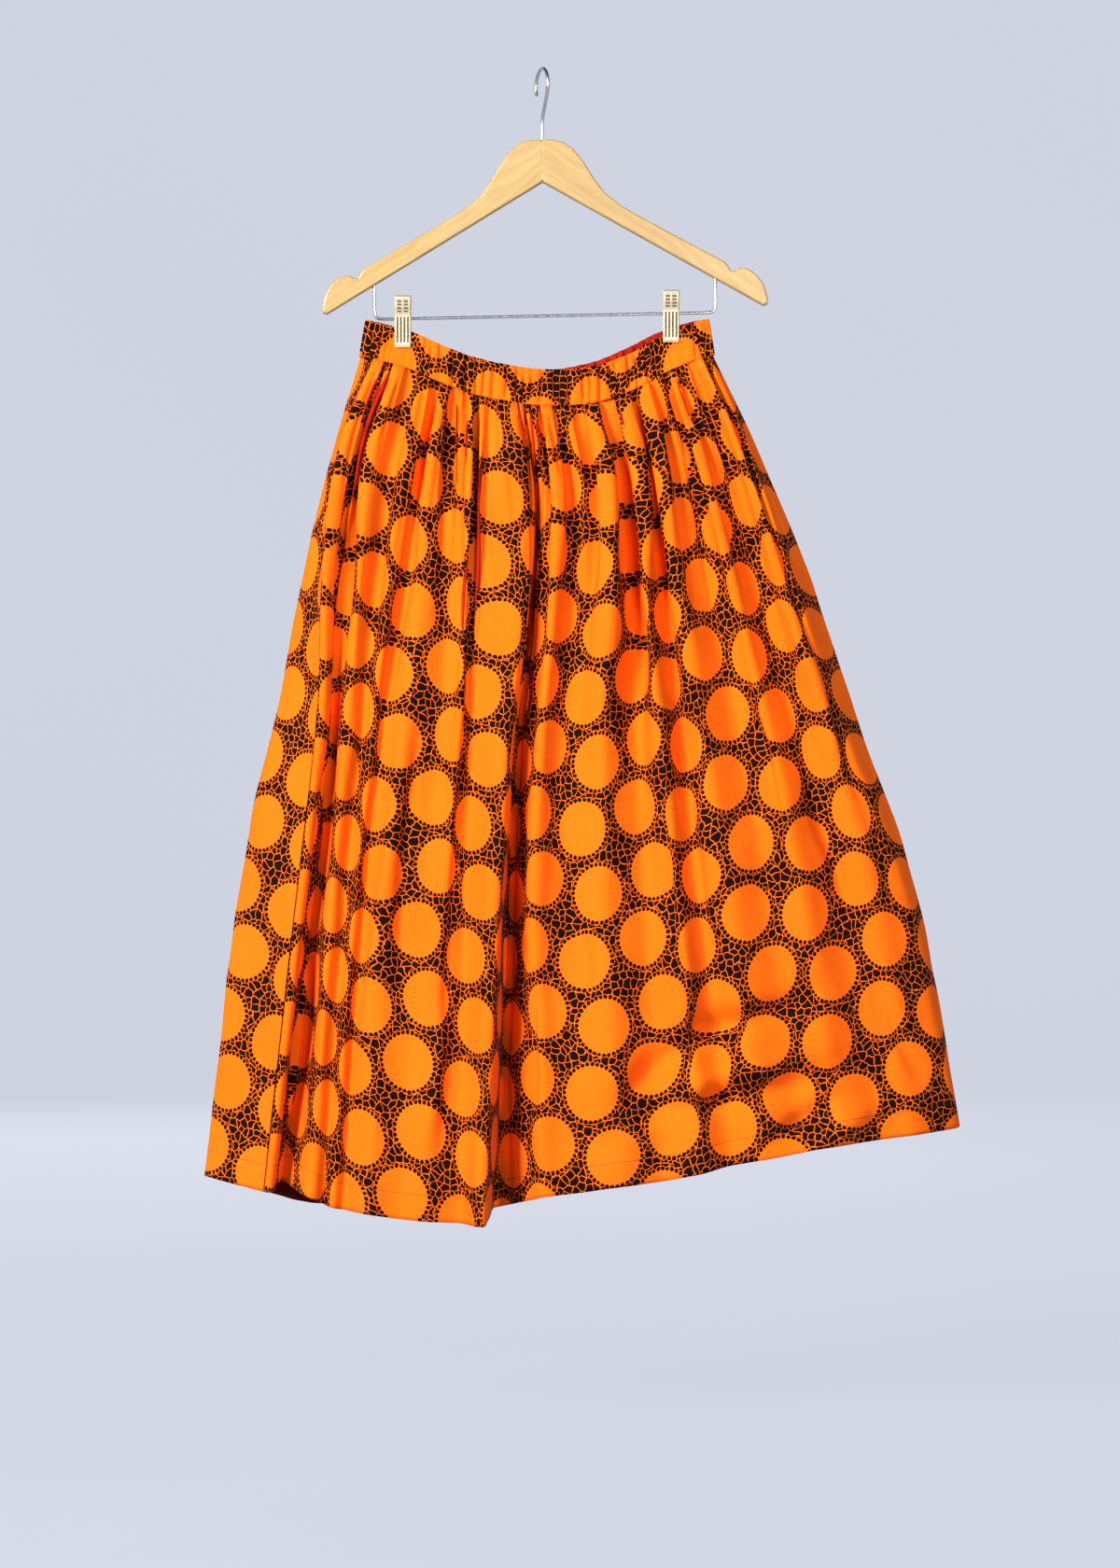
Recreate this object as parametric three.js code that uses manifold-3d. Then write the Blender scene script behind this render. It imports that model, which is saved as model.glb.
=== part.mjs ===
// Gathered full skirt with an elastic waistband, clipped to a wooden hanger with a wire hook.
// Millimetres, +Z up, the front towards -Y. The origin is the inside of the hook's crown.
import * as THREE from "three";
import { mergeVertices } from "three/addons/utils/BufferGeometryUtils.js";
import Module from "manifold-3d";

const wasm = await Module();
wasm.setup();
const { Manifold, Mesh: SolidMesh } = wasm;

// Cloth sizes.
const PANEL_CUT = 1090;
const ROUND_CUT = 2 * PANEL_CUT;
const PANEL_WALL = 1.2;
const HEM_WALL = 1.0;
const HEM_DEPTH = 27;
const BAND_HEIGHT = 36;
const BAND_WALL = 1.8;
const BAND_TAPER = 0.034;
const SEAM_GAP = 0.5;
const FOLD_ROUNDING = 8;
const SIDE_INSET = 0.8;
// How far front and back stay from the middle plane at the ends, and inside.
const END_REACH = 5;
const MIDDLE_ROOM = 3.5;

// Hanger, wire and clip sizes.
const WOOD_THICK = 12;
const WOOD_EDGE = 2;
const JOINT_GAP = 0.3;
const HOOK_WIRE = 3.6;
const RAIL_REACH = 15;
const HOOK_TURN = 21;
const BAR_WIRE = 3;
const BAR_HALF = 170.5;
const BAR_DROP = -245.4;
const BAR_TOP = -204;
const BAR_BEND = 9;
const HANGER_TILT = 1.15;
const TILT_PIVOT = -80;
const CLIP_WIDTH = 16;
const CLIP_WALL = 1.2;
const CLIPS = { left: -139, right: 129 };

// Heights down the cloth, 0 at the waist seam and 1 at the hem, for the tables below.
const LEVELS = [0, 0.11, 0.26, 0.42, 0.68, 1];
// Half of the skirt's depth, front to back, at each level.
const HALF_DEPTH = [9, 30, 45, 57, 73, 90];
// How squarely the ends turn at each level, and how much of the spare cloth the main folds take.
const END_POWER = [0.25, 0.35, 0.45, 0.5, 0.6, 0.7];
const MAIN_SHARE = [0.12, 0.5, 0.84, 0.93, 0.97, 0.98];
// How far across its own range a back fold has spread at each level.
const SPREAD = [0, 0.165, 0.36, 0.53, 0.81, 1];

// One row per fold line of the front, left to right: ridge (1) or valley (0), cloth from the line
// before, half waves of gathering in it, how far it stands out at the hem, its place across at
// each level, and the hem's height there.
const FRONT_FOLDS = [
  ["flap_edge", 1, 84, 2, 4, -163, -197, -215, -217, -239, -268, -1118],
  ["flap_valley", 0, 62, 2, 0, -152, -178, -200, -209, -230, -262, -1106],
  ["side_ridge", 1, 72, 2, 2, -142, -169, -180, -191, -209, -227, -1122],
  ["side_crease", 0, 22, 1, 0, -130, -151, -165, -178, -197, -216, -1128],
  ["inner_ridge", 1, 22, 1, 0, -118, -135, -153, -167, -188, -207, -1131],
  ["short_valley", 0, 22, 1, 0, -105, -122, -140, -158, -181, -197, -1133],
  ["slant_ridge", 1, 28, 1, 4, -94, -105, -117, -131, -158, -173, -1136],
  ["slant_valley", 0, 33, 2, 0, -83, -85, -90, -101, -128, -142, -1141],
  ["soft_ridge", 1, 29, 2, -4, -71, -73, -75, -82, -102, -115, -1143],
  ["edge_valley", 0, 39, 2, 0, -59, -61, -64, -71, -77, -78, -1145],
  ["lap_ridge", 1, 24, 2, 6, -43, -38, -33, -47, -58, -68, -1146],
  ["lap_edge", 1, 22, 0, 10, -27, -17, -17, -31, -42, -54, -1147],
  ["main_valley", 0, 74, 4, 0, -16, -8, -12, -26, -37, -47, -1134],
  ["broad_ridge", 1, 84, 4, -8, 2, 15, 10, -1, -10, -1, -1119],
  ["fading_valley", 0, 38, 2, 0, 25, 40, 35, 24, 21, 35, -1115],
  ["long_ridge", 1, 45, 2, 0, 49, 65, 65, 60, 63, 78, -1108],
  ["reed_left", 0, 47, 1, 0, 64, 84, 92, 95, 104, 122, -1103],
  ["reed_ridge", 1, 39, 1, 3, 78, 97, 104, 115, 136, 160, -1095],
  ["reed_right", 0, 32, 1, 0, 90, 107, 119, 132, 156, 184, -1089],
  ["fan_ridge_a", 1, 39, 1, 0, 103, 123, 138, 156, 187, 221, -1082],
  ["fan_valley_a", 0, 43, 2, 0, 116, 141, 163, 190, 225, 262, -1075],
  ["fan_ridge_b", 1, 40, 2, 0, 129, 156, 186, 216, 260, 300, -1069],
  ["fan_valley_b", 0, 39, 2, 0, 142, 173, 207, 242, 294, 337, -1065],
  ["fan_ridge_c", 1, 37, 2, 0, 155, 190, 229, 266, 324, 372, -1061],
  ["front_edge", 1, 50, 2, 0, 169, 205, 245, 287, 362, 417, -1056],
];

// One row per fold line of the back, from the right side round to the left: ridge or valley,
// cloth from the line before, half waves, place across at the waist and hem, hem height.
const BACK_FOLDS = [
  ["side_tuck", 0, 14, 0, 165, 414, -1055],
  ["right_side", 1, 16, 0, 173, 420, -1055],
  ["back_valley_a", 0, 54, 2, 157, 384, -1058],
  ["back_ridge_a", 1, 60, 2, 142, 342, -1061],
  ["back_valley_b", 0, 56, 2, 120, 307, -1064],
  ["back_ridge_b", 1, 66, 2, 102, 257, -1070],
  ["back_valley_c", 0, 58, 3, 80, 220, -1076],
  ["back_ridge_c", 1, 74, 3, 64, 162, -1086],
  ["back_valley_d", 0, 58, 2, 42, 122, -1092],
  ["back_ridge_d", 1, 60, 2, 26, 80, -1098],
  ["back_valley_e", 0, 64, 2, 4, 32, -1106],
  ["back_ridge_e", 1, 60, 2, -12, -10, -1112],
  ["back_valley_f", 0, 60, 2, -34, -53, -1118],
  ["back_ridge_f", 1, 62, 2, -52, -98, -1126],
  ["back_valley_g", 0, 66, 3, -76, -148, -1133],
  ["back_ridge_g", 1, 60, 3, -94, -190, -1137],
  ["back_valley_h", 0, 56, 2, -116, -230, -1134],
  ["back_ridge_h", 1, 60, 2, -136, -273, -1126],
  ["back_valley_i", 0, 47, 2, -158, -303, -1113],
  ["left_side", 1, 63, 2, -183, -340, -1104],
];

// The waist seam: place across, its height in front, and how much higher the back sits.
const WAIST_SEAM = [
  [-183, -285, 0],
  [-138, -296, 0],
  [-103, -311, -1],
  [-73, -322, -2],
  [-43, -329, -2],
  [2, -335, 0],
  [52, -332, 5],
  [92, -319, 8],
  [117, -305, 6],
  [154, -289, 2],
  [173, -284, 0],
];

function smoothLookup(places, values, at) {
  const last = places.length - 1;
  let i = 0;
  while (i < last - 1 && at > places[i + 1]) i += 1;
  const slope = (j) => {
    const a = Math.max(j - 1, 0);
    const b = Math.min(j + 1, last);
    return (values[b] - values[a]) / (places[b] - places[a]);
  };
  const wide = places[i + 1] - places[i];
  const t = Math.min(Math.max((at - places[i]) / wide, 0), 1);
  const rise = t * t * (3 - 2 * t);
  const start = t * (1 - t) * (1 - t) * wide * slope(i);
  const end = t * t * (t - 1) * wide * slope(i + 1);
  return values[i] + (values[i + 1] - values[i]) * rise + start + end;
}

const atLevel = (values, down) => smoothLookup(LEVELS, values, down);

function seamHeight(across, back) {
  const places = WAIST_SEAM.map((row) => row[0]);
  const front = smoothLookup(places, WAIST_SEAM.map((row) => row[1]), across);
  return front + back * smoothLookup(places, WAIST_SEAM.map((row) => row[2]), across);
}

// All the fold lines in one loop, each with its place along the cut cloth and its gather phase.
function foldLoop() {
  const lines = [];
  let cut = 8 - FRONT_FOLDS[0][2];
  let phase = 0;
  for (const [name, ridge, cloth, waves, lift, ...rest] of FRONT_FOLDS) {
    cut += cloth;
    phase += waves * Math.PI;
    lines.push({ name, ridge, cloth, lift, side: -1, across: rest.slice(0, 6), hem: rest[6] });
    Object.assign(lines.at(-1), { cut, phase });
  }
  for (const [name, ridge, cloth, waves, waist, low, hem] of BACK_FOLDS) {
    cut += cloth;
    phase += waves * Math.PI;
    const across = SPREAD.map((share) => waist + (low - waist) * share);
    const side = name === "side_tuck" ? 0 : 1;
    lines.push({ name, ridge, cloth, lift: 0, side, across, hem, cut, phase });
  }
  return { lines, phaseRound: phase };
}

const LOOP = foldLoop();
const RIGHT_SIDE = LOOP.lines.find((line) => line.name === "right_side");
const LEFT_SIDE = LOOP.lines.find((line) => line.name === "left_side");

// How far the cloth stands from the middle plane at a place across.
function envelope(across, down) {
  const right = atLevel(RIGHT_SIDE.across, down);
  const left = atLevel(LEFT_SIDE.across, down);
  const u = Math.min(Math.abs((2 * across - left - right) / (right - left)), 1);
  const reach = atLevel(HALF_DEPTH, down) * (1 - u ** 2.4) ** atLevel(END_POWER, down);
  return Math.max(reach, END_REACH);
}

// The fold lines at one level as points in plan; spare cloth sends the valleys in.
function foldRow(down) {
  const row = LOOP.lines.map((line) => {
    const across = atLevel(line.across, down);
    return { ...line, x: across, reach: envelope(across, down) };
  });
  const share = atLevel(MAIN_SHARE, down);
  const spare = (a, b) => share * Math.sqrt(Math.max(b.cloth ** 2 - (b.x - a.x) ** 2, 0));
  row.forEach((line, i) => {
    const before = row.at(i - 1);
    const after = row[(i + 1) % row.length];
    const deep = line.ridge ? 0 : (spare(before, line) + spare(line, after)) / 2;
    const out = line.reach + line.lift * down;
    const least = line.side > 0 ? 0.35 * out : 0;
    line.y = line.side * Math.max(out - deep, least, Math.min(out, 3));
  });
  row.forEach((line, i) => {
    const before = row.at(i - 1);
    const chord = Math.hypot(line.x - before.x, line.y - before.y);
    line.taken = Math.min(Math.max(chord / line.cloth, 0.3), 1);
  });
  return row;
}

const lerp = (a, b, t) => a + (b - a) * t;
const smoothstep = THREE.MathUtils.smoothstep;

// A place between two fold lines: plan position, hem height, gather phase and strength.
function between(row, cut) {
  const first = row[0].cut;
  const at = ((((cut - first) % ROUND_CUT) + ROUND_CUT) % ROUND_CUT) + first;
  let i = row.findIndex((line) => line.cut > at);
  if (i < 0) i = row.length;
  const a = row[i - 1];
  const b = row[i % row.length];
  const t = (at - a.cut) / b.cloth;
  const spare = 1 - b.taken;
  return {
    x: lerp(a.x, b.x, t),
    y: lerp(a.y, b.y, t),
    hem: lerp(a.hem, b.hem, t),
    back: lerp(a.side, b.side, t) > 0 ? 1 : 0,
    phase: lerp(a.phase, i < row.length ? b.phase : LOOP.phaseRound + b.phase, t),
    wave: b.cloth / Math.max((i < row.length ? b.phase - a.phase : b.phase) / Math.PI, 0.5),
    taken: b.taken,
    bend: Math.sqrt(4 * spare + spare ** 2 + 0.39 * spare ** 3),
  };
}

// The same, rounded over the folds.
function rounded(row, cut) {
  const sum = { x: 0, y: 0, hem: 0, back: 0, bend: 0 };
  const steps = [-1.6, -0.8, 0, 0.8, 1.6];
  const weights = steps.map((step) => Math.exp((-step * step) / 2));
  const total = weights.reduce((a, b) => a + b);
  steps.forEach((step, i) => {
    const found = between(row, cut + step * FOLD_ROUNDING);
    for (const key of Object.keys(sum)) sum[key] += (found[key] * weights[i]) / total;
  });
  return sum;
}

// Gathers die away where the cloth turns round a side.
function sideCalm(cut) {
  const away = (line) => {
    const apart = (((cut - line.cut) % ROUND_CUT) + ROUND_CUT) % ROUND_CUT;
    return Math.min(apart, ROUND_CUT - apart);
  };
  return smoothstep(Math.min(away(RIGHT_SIDE), away(LEFT_SIDE)), 10, 110);
}

// Keeps front and back apart, except where the cloth turns at the sides.
function clearOfMiddle(x, y, side, down) {
  const right = atLevel(RIGHT_SIDE.across, down);
  const left = atLevel(LEFT_SIDE.across, down);
  const room = MIDDLE_ROOM * Math.min(Math.max(Math.min(x - left, right - x) - 4, 0) / 10, 1);
  const out = y * Math.sign(side);
  if (room === 0) return y;
  const soft = 2 * room;
  const kept = out < soft ? room + room * Math.exp((out - soft) / room) : out;
  return kept * Math.sign(side);
}

// The panels' middle surface in plan.
function planPoint(row, cut, down) {
  const here = rounded(row, cut);
  const ahead = rounded(row, cut + 3);
  const behind = rounded(row, cut - 3);
  const run = Math.hypot(ahead.x - behind.x, ahead.y - behind.y);
  const tx = (ahead.x - behind.x) / run;
  const ty = (ahead.y - behind.y) / run;
  const { phase, wave, taken } = between(row, cut);
  const a = here.bend * sideCalm(cut) * (1 - 0.8 * smoothstep(down, 0.06, 0.4));
  const j1 = a / 2 - a ** 3 / 16 + a ** 5 / 384;
  const j2 = a ** 2 / 8 - a ** 4 / 96 + a ** 6 / 3072;
  const squash = 0.4 + 0.6 * Math.min(down / 0.06, 1);
  const out = Math.min(((2 * wave) / Math.PI) * j1, 9) * squash * Math.cos(phase);
  const slide = wave * Math.min(j2 / Math.PI, 0.24 * taken) * Math.sin(2 * phase);
  const x = here.x + tx * slide + ty * out;
  const y = clearOfMiddle(x, here.y + ty * slide - tx * out, here.y, down);
  return { x, y, hem: here.hem, back: here.back };
}

const WAIST_ROW = foldRow(0);

// One point of the panels' middle surface, on the grain line that starts at its own waist point.
function clothPoint(row, cut, down) {
  const { x, y, hem } = planPoint(row, cut, down);
  const start = planPoint(WAIST_ROW, cut, 0);
  const top = seamHeight(start.x, start.back) - SEAM_GAP;
  return new THREE.Vector3(x, y, lerp(top, hem, down));
}

// Places along the cut cloth: two per half wave, so every gather keeps its shape.
function cutPlaces(from, to) {
  const places = [from];
  const lines = [...LOOP.lines, { ...LOOP.lines[0], cut: LOOP.lines[0].cut + ROUND_CUT }];
  lines.slice(1).forEach((line, i) => {
    const before = lines[i];
    const half = i + 1 < LOOP.lines.length ? (line.phase - before.phase) / Math.PI : 2;
    const steps = Math.max(2 * Math.round(half), line.cloth > 60 ? 6 : line.cloth > 30 ? 4 : 2);
    for (let n = 1; n <= steps; n += 1) places.push(lerp(before.cut, line.cut, n / steps));
  });
  const inside = places.slice(1).filter((cut) => cut > from + 3 && cut < to - 3);
  const wrapped = places.map((cut) => cut - ROUND_CUT).filter((c) => c > from + 3 && c < to - 3);
  const kept = new Set([...inside, ...wrapped, ...firstPlace(from, to)].map((c) => c.toFixed(3)));
  return [from, ...[...kept].map(Number).sort((a, b) => a - b), to];
}

function firstPlace(from, to) {
  return [LOOP.lines[0].cut].filter((cut) => cut > from + 3 && cut < to - 3);
}

// A grid of points with a normal at each, outward from the body.
function gridNormals(grid) {
  const last = grid.length - 1;
  const wide = grid[0].length - 1;
  return grid.map((line, r) =>
    line.map((_, c) => {
      const along = line[Math.min(c + 1, wide)].clone().sub(line[Math.max(c - 1, 0)]);
      const below = grid[Math.min(r + 1, last)][c];
      const down = below.clone().sub(grid[Math.max(r - 1, 0)][c]);
      return down.cross(along).normalize();
    }),
  );
}

// A closed wall on a grid, from one offset along the normals to another.
function wall(grid, inner, outer, normals = gridNormals(grid)) {
  const rows = grid.length;
  const cols = grid[0].length;
  const points = [];
  for (const offset of [outer, inner]) {
    grid.forEach((line, r) =>
      line.forEach((p, c) => points.push(p.clone().addScaledVector(normals[r][c], offset))),
    );
  }
  const id = (side, r, c) => side * rows * cols + r * cols + c;
  const faces = [];
  const quad = (a, b, c, d) => faces.push(a, b, c, a, c, d);
  for (let r = 0; r < rows - 1; r += 1) {
    for (let c = 0; c < cols - 1; c += 1) {
      quad(id(0, r, c), id(0, r + 1, c), id(0, r + 1, c + 1), id(0, r, c + 1));
      quad(id(1, r, c), id(1, r, c + 1), id(1, r + 1, c + 1), id(1, r + 1, c));
    }
    quad(id(1, r, 0), id(1, r + 1, 0), id(0, r + 1, 0), id(0, r, 0));
    const e = cols - 1;
    quad(id(0, r, e), id(0, r + 1, e), id(1, r + 1, e), id(1, r, e));
  }
  const b = rows - 1;
  for (let c = 0; c < cols - 1; c += 1) {
    quad(id(1, 0, c), id(0, 0, c), id(0, 0, c + 1), id(1, 0, c + 1));
    quad(id(0, b, c), id(1, b, c), id(1, b, c + 1), id(0, b, c + 1));
  }
  const geometry = new THREE.BufferGeometry();
  geometry.setAttribute("position", new THREE.Float32BufferAttribute(points.flatMap(xyz), 3));
  geometry.setIndex(faces);
  return geometry;
}

const xyz = (p) => [p.x, p.y, p.z];

const PANEL_ROWS = [0, 0.04, 0.1, 0.19, 0.33, 0.52, 0.76, 1 - HEM_DEPTH / 800, 1];

function panelGrid(from, to) {
  const cuts = cutPlaces(from + SIDE_INSET, to - SIDE_INSET);
  return PANEL_ROWS.map((down) => {
    const row = foldRow(down);
    return cuts.map((cut) => clothPoint(row, cut, down));
  });
}

function panel(from, to) {
  return wall(panelGrid(from, to), -PANEL_WALL / 2, PANEL_WALL / 2);
}

// The turn-up lies inside the panel's lower edge.
function hem(from, to) {
  const grid = panelGrid(from, to);
  const normals = gridNormals(grid).slice(-2);
  const face = -PANEL_WALL / 2 - 0.3;
  const rows = grid.slice(-2).map((line) => {
    const last = line.length - 1;
    const start = line[0].clone().lerp(line[1], 0.4);
    const end = line[last].clone().lerp(line[last - 1], 0.4);
    return [start, ...line.slice(1, last), end];
  });
  return wall(rows, face - HEM_WALL, face, normals);
}

// How near the clips press the band to the middle plane, 1 right under a jaw.
function pinch(across) {
  const near = (clip) => Math.max(Math.abs(across - clip) - CLIP_WIDTH / 2 - 1, 0);
  const gap = Math.min(near(CLIPS.left), near(CLIPS.right));
  return Math.exp(-((gap / 12) ** 2));
}

function bandPoint(turn, tall, back) {
  const right = RIGHT_SIDE.across[0] - 1;
  const left = LEFT_SIDE.across[0] + 1;
  const across = (left + right) / 2 + ((right - left) / 2) * Math.sin((turn * Math.PI) / 2);
  const x = across * (1 - BAND_TAPER * tall);
  const bottom = envelope(across, 0) - 1;
  const endwise = Math.sqrt(Math.max(1 - turn * turn, 0));
  const top = lerp(5 * endwise + 1.2 * Math.abs(Math.cos(turn * 9)) * endwise, 1.3, pinch(x));
  const held = Math.min(tall / 0.45, 1);
  const ripple = 0.35 * Math.cos(turn * 60) * endwise * (1 - pinch(x));
  const out = lerp(Math.max(bottom, 1.3 * endwise), Math.min(top, bottom + 3), held) + ripple;
  const y = (back ? 1 : -1) * Math.max(out * Math.min(endwise * 8, 1), 0.5 + 0.8 * endwise);
  return new THREE.Vector3(x, y, seamHeight(across, back) + BAND_HEIGHT * tall);
}

function waistband(back) {
  const turns = Array.from({ length: 39 }, (_, i) => -1 + i / 19);
  const order = back ? turns.reverse() : turns;
  const grid = [1, 0.5, 0].map((tall) => order.map((turn) => bandPoint(turn, tall, back)));
  return wall(grid, -BAND_WALL / 2, BAND_WALL / 2);
}

// Solids for holes.
function toSolid(geometry) {
  const clean = new THREE.BufferGeometry();
  clean.setAttribute("position", geometry.getAttribute("position").clone());
  if (geometry.index) clean.setIndex(geometry.index.clone());
  const merged = mergeVertices(clean, 1e-4);
  const mesh = new SolidMesh({
    numProp: 3,
    vertProperties: new Float32Array(merged.getAttribute("position").array),
    triVerts: new Uint32Array(merged.index.array),
  });
  return new Manifold(mesh);
}

function toGeometry(solid) {
  const mesh = solid.getMesh();
  const geometry = new THREE.BufferGeometry();
  geometry.setAttribute("position", new THREE.Float32BufferAttribute(mesh.vertProperties, 3));
  geometry.setIndex(Array.from(mesh.triVerts));
  return geometry;
}

function upright(radius, x, low, high) {
  const pin = new THREE.CylinderGeometry(radius, radius, high - low, 20);
  return pin.rotateX(Math.PI / 2).translate(x, 0, (low + high) / 2);
}

function tilted(geometry) {
  const turn = THREE.MathUtils.degToRad(HANGER_TILT);
  return geometry.translate(0, 0, -TILT_PIVOT).rotateY(-turn).translate(0, 0, TILT_PIVOT);
}

// Half of the wooden hanger's outline from the joint out: along, height.
const WOOD_OUTLINE = [
  [JOINT_GAP / 2, -69.3],
  [12, -69.8],
  [22, -73],
  [31, -79],
  [42, -93.5],
  [51, -108.5],
  [61.5, -123.5],
  [76.5, -136],
  [95, -147.5],
  [180, -195],
  [183.5, -199],
  [186, -204],
  [190, -204.5],
  [193.5, -201.5],
  [199, -201.5],
  [206, -204],
  [213, -210],
  [219, -219],
  [222.5, -232],
  [222, -238],
  [218, -239.5],
  [JOINT_GAP / 2, -112],
];

function woodHalf(side) {
  const grown = WOOD_OUTLINE.map(([along, height]) => new THREE.Vector2(along, height));
  const shape = new THREE.Shape(grown);
  const options = {
    depth: WOOD_THICK - 2 * WOOD_EDGE,
    bevelThickness: WOOD_EDGE,
    bevelSize: WOOD_EDGE * 0.9,
    bevelOffset: -WOOD_EDGE * 0.9,
    bevelSegments: 3,
    curveSegments: 8,
  };
  const body = new THREE.ExtrudeGeometry(shape, options);
  body.translate(0, 0, -WOOD_THICK / 2 + WOOD_EDGE).rotateX(Math.PI / 2);
  let solid = toSolid(body);
  solid = solid.subtract(toSolid(upright(HOOK_WIRE / 2 + 0.5, 0, -92, -60)));
  solid = solid.subtract(toSolid(upright(BAR_WIRE / 2 + 0.3, BAR_HALF, -240, BAR_TOP + 0.4)));
  const half = side > 0 ? solid : solid.mirror([1, 0, 0]);
  return tilted(toGeometry(half));
}

// Wire along a list of points, rounded, with closed ends.
function wire(points, radius, steps) {
  const path = new THREE.CatmullRomCurve3(points.map((p) => new THREE.Vector3(...p)));
  path.curveType = "centripetal";
  const round = new THREE.Shape();
  round.absarc(0, 0, radius, 0, Math.PI * 2);
  const options = { steps, extrudePath: path, curveSegments: 7, bevelEnabled: false };
  return new THREE.ExtrudeGeometry(round, options);
}

function hook() {
  const ring = RAIL_REACH + HOOK_WIRE / 2;
  const points = [[0, 0, -91], [0, 0, -72], [0, 0, -52], [-3.5, 0, -43], [-9.5, 0, -34]];
  for (let angle = 200; angle >= -28; angle -= 19) {
    const turn = THREE.MathUtils.degToRad(angle);
    points.push([ring * Math.cos(turn), 0, -RAIL_REACH + ring * Math.sin(turn)]);
  }
  const geometry = wire(points, HOOK_WIRE / 2, 60);
  return geometry.rotateZ(THREE.MathUtils.degToRad(90 + HOOK_TURN));
}

function clipBar() {
  const points = [];
  for (const side of [-1, 1]) {
    const x = side * BAR_HALF;
    const end = [
      [x, 0, BAR_TOP],
      [x, 0, BAR_TOP - 16],
      [x, 0, BAR_DROP + BAR_BEND],
      [x - side * BAR_BEND * 0.29, 0, BAR_DROP + BAR_BEND * 0.29],
      [x - side * BAR_BEND, 0, BAR_DROP],
      [x - side * 20, 0, BAR_DROP],
      [x - side * 60, 0, BAR_DROP],
      [x - side * 110, 0, BAR_DROP],
    ];
    points.push(...(side < 0 ? end : end.reverse()));
  }
  return tilted(wire(points, BAR_WIRE / 2, 90));
}

const barHeight = (x) => BAR_DROP + x * Math.sin(THREE.MathUtils.degToRad(HANGER_TILT));

// A jaw's side view: distance out and height above the bar, from grip down to foot.
const JAW_LINE = [
  [5.4, 22.5],
  [8.6, 21],
  [7.2, 12],
  [4.4, 3],
  [4.2, -3],
  [3.6, -12],
  [3.1, -20],
  [3.1, -26],
  [4.6, -29],
];

function jaw(clip, side) {
  const low = JAW_LINE.map(([out, up], i) => {
    const before = JAW_LINE[Math.max(i - 1, 0)];
    const after = JAW_LINE[Math.min(i + 1, JAW_LINE.length - 1)];
    const run = new THREE.Vector2(after[0] - before[0], after[1] - before[1]).normalize();
    return { out, up, nx: run.y, nz: -run.x };
  });
  const half = CLIP_WALL / 2;
  const inner = low.map((p) => new THREE.Vector2(p.out + p.nx * half, p.up + p.nz * half));
  const outer = low.map((p) => new THREE.Vector2(p.out - p.nx * half, p.up - p.nz * half));
  const shape = new THREE.Shape([...inner, ...outer.reverse()]);
  const body = new THREE.ExtrudeGeometry(shape, { depth: CLIP_WIDTH, bevelEnabled: false });
  body.translate(0, 0, -CLIP_WIDTH / 2).rotateX(Math.PI / 2).rotateZ(-Math.PI / 2);
  if (side > 0) body.rotateZ(Math.PI);
  return body.translate(clip, 0, barHeight(clip));
}

function spring(clip) {
  const hole = BAR_WIRE / 2 + 0.3;
  const rim = 3.3;
  const profile = [[hole, -6], [rim, -6], [rim, 6], [hole, 6], [hole, -6]];
  const body = new THREE.LatheGeometry(profile.map((p) => new THREE.Vector2(...p)), 24);
  return body.rotateZ(Math.PI / 2).translate(clip, 0, barHeight(clip));
}

const paint = (color, roughness, metalness) =>
  new THREE.MeshStandardMaterial({ color, roughness, metalness });
const CLOTH = paint(0xff7a14, 0.75, 0);
const WOOD = paint(0xd9a257, 0.4, 0);
const CHROME = paint(0xd6d8da, 0.15, 1);
const NICKEL = paint(0xcfc6b4, 0.3, 1);

const group = new THREE.Group();

function add(name, geometry, material) {
  const mesh = new THREE.Mesh(geometry, material);
  mesh.name = name;
  group.add(mesh);
}

add("skirt_front", panel(0, PANEL_CUT), CLOTH);
add("skirt_back", panel(PANEL_CUT, ROUND_CUT), CLOTH);
add("hem_front", hem(0, PANEL_CUT), CLOTH);
add("hem_back", hem(PANEL_CUT, ROUND_CUT), CLOTH);
add("waistband_front", waistband(0), CLOTH);
add("waistband_back", waistband(1), CLOTH);
add("hanger_left", woodHalf(-1), WOOD);
add("hanger_right", woodHalf(1), WOOD);
add("hook", hook(), CHROME);
add("clip_bar", clipBar(), CHROME);
for (const [side, x] of Object.entries(CLIPS)) {
  add(`clip_${side}_jaw_front`, jaw(x, -1), NICKEL);
  add(`clip_${side}_jaw_back`, jaw(x, 1), NICKEL);
  add(`clip_${side}_spring`, spring(x), NICKEL);
}

export default group;
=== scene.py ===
# Gathered full skirt clipped to a wooden hanger. Sizes are millimetres unless a comment says metres;
# the front is towards -Y and the origin is the inside of the hook's crown.
import math

import bpy
import numpy as np
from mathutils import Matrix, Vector, noise


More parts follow.
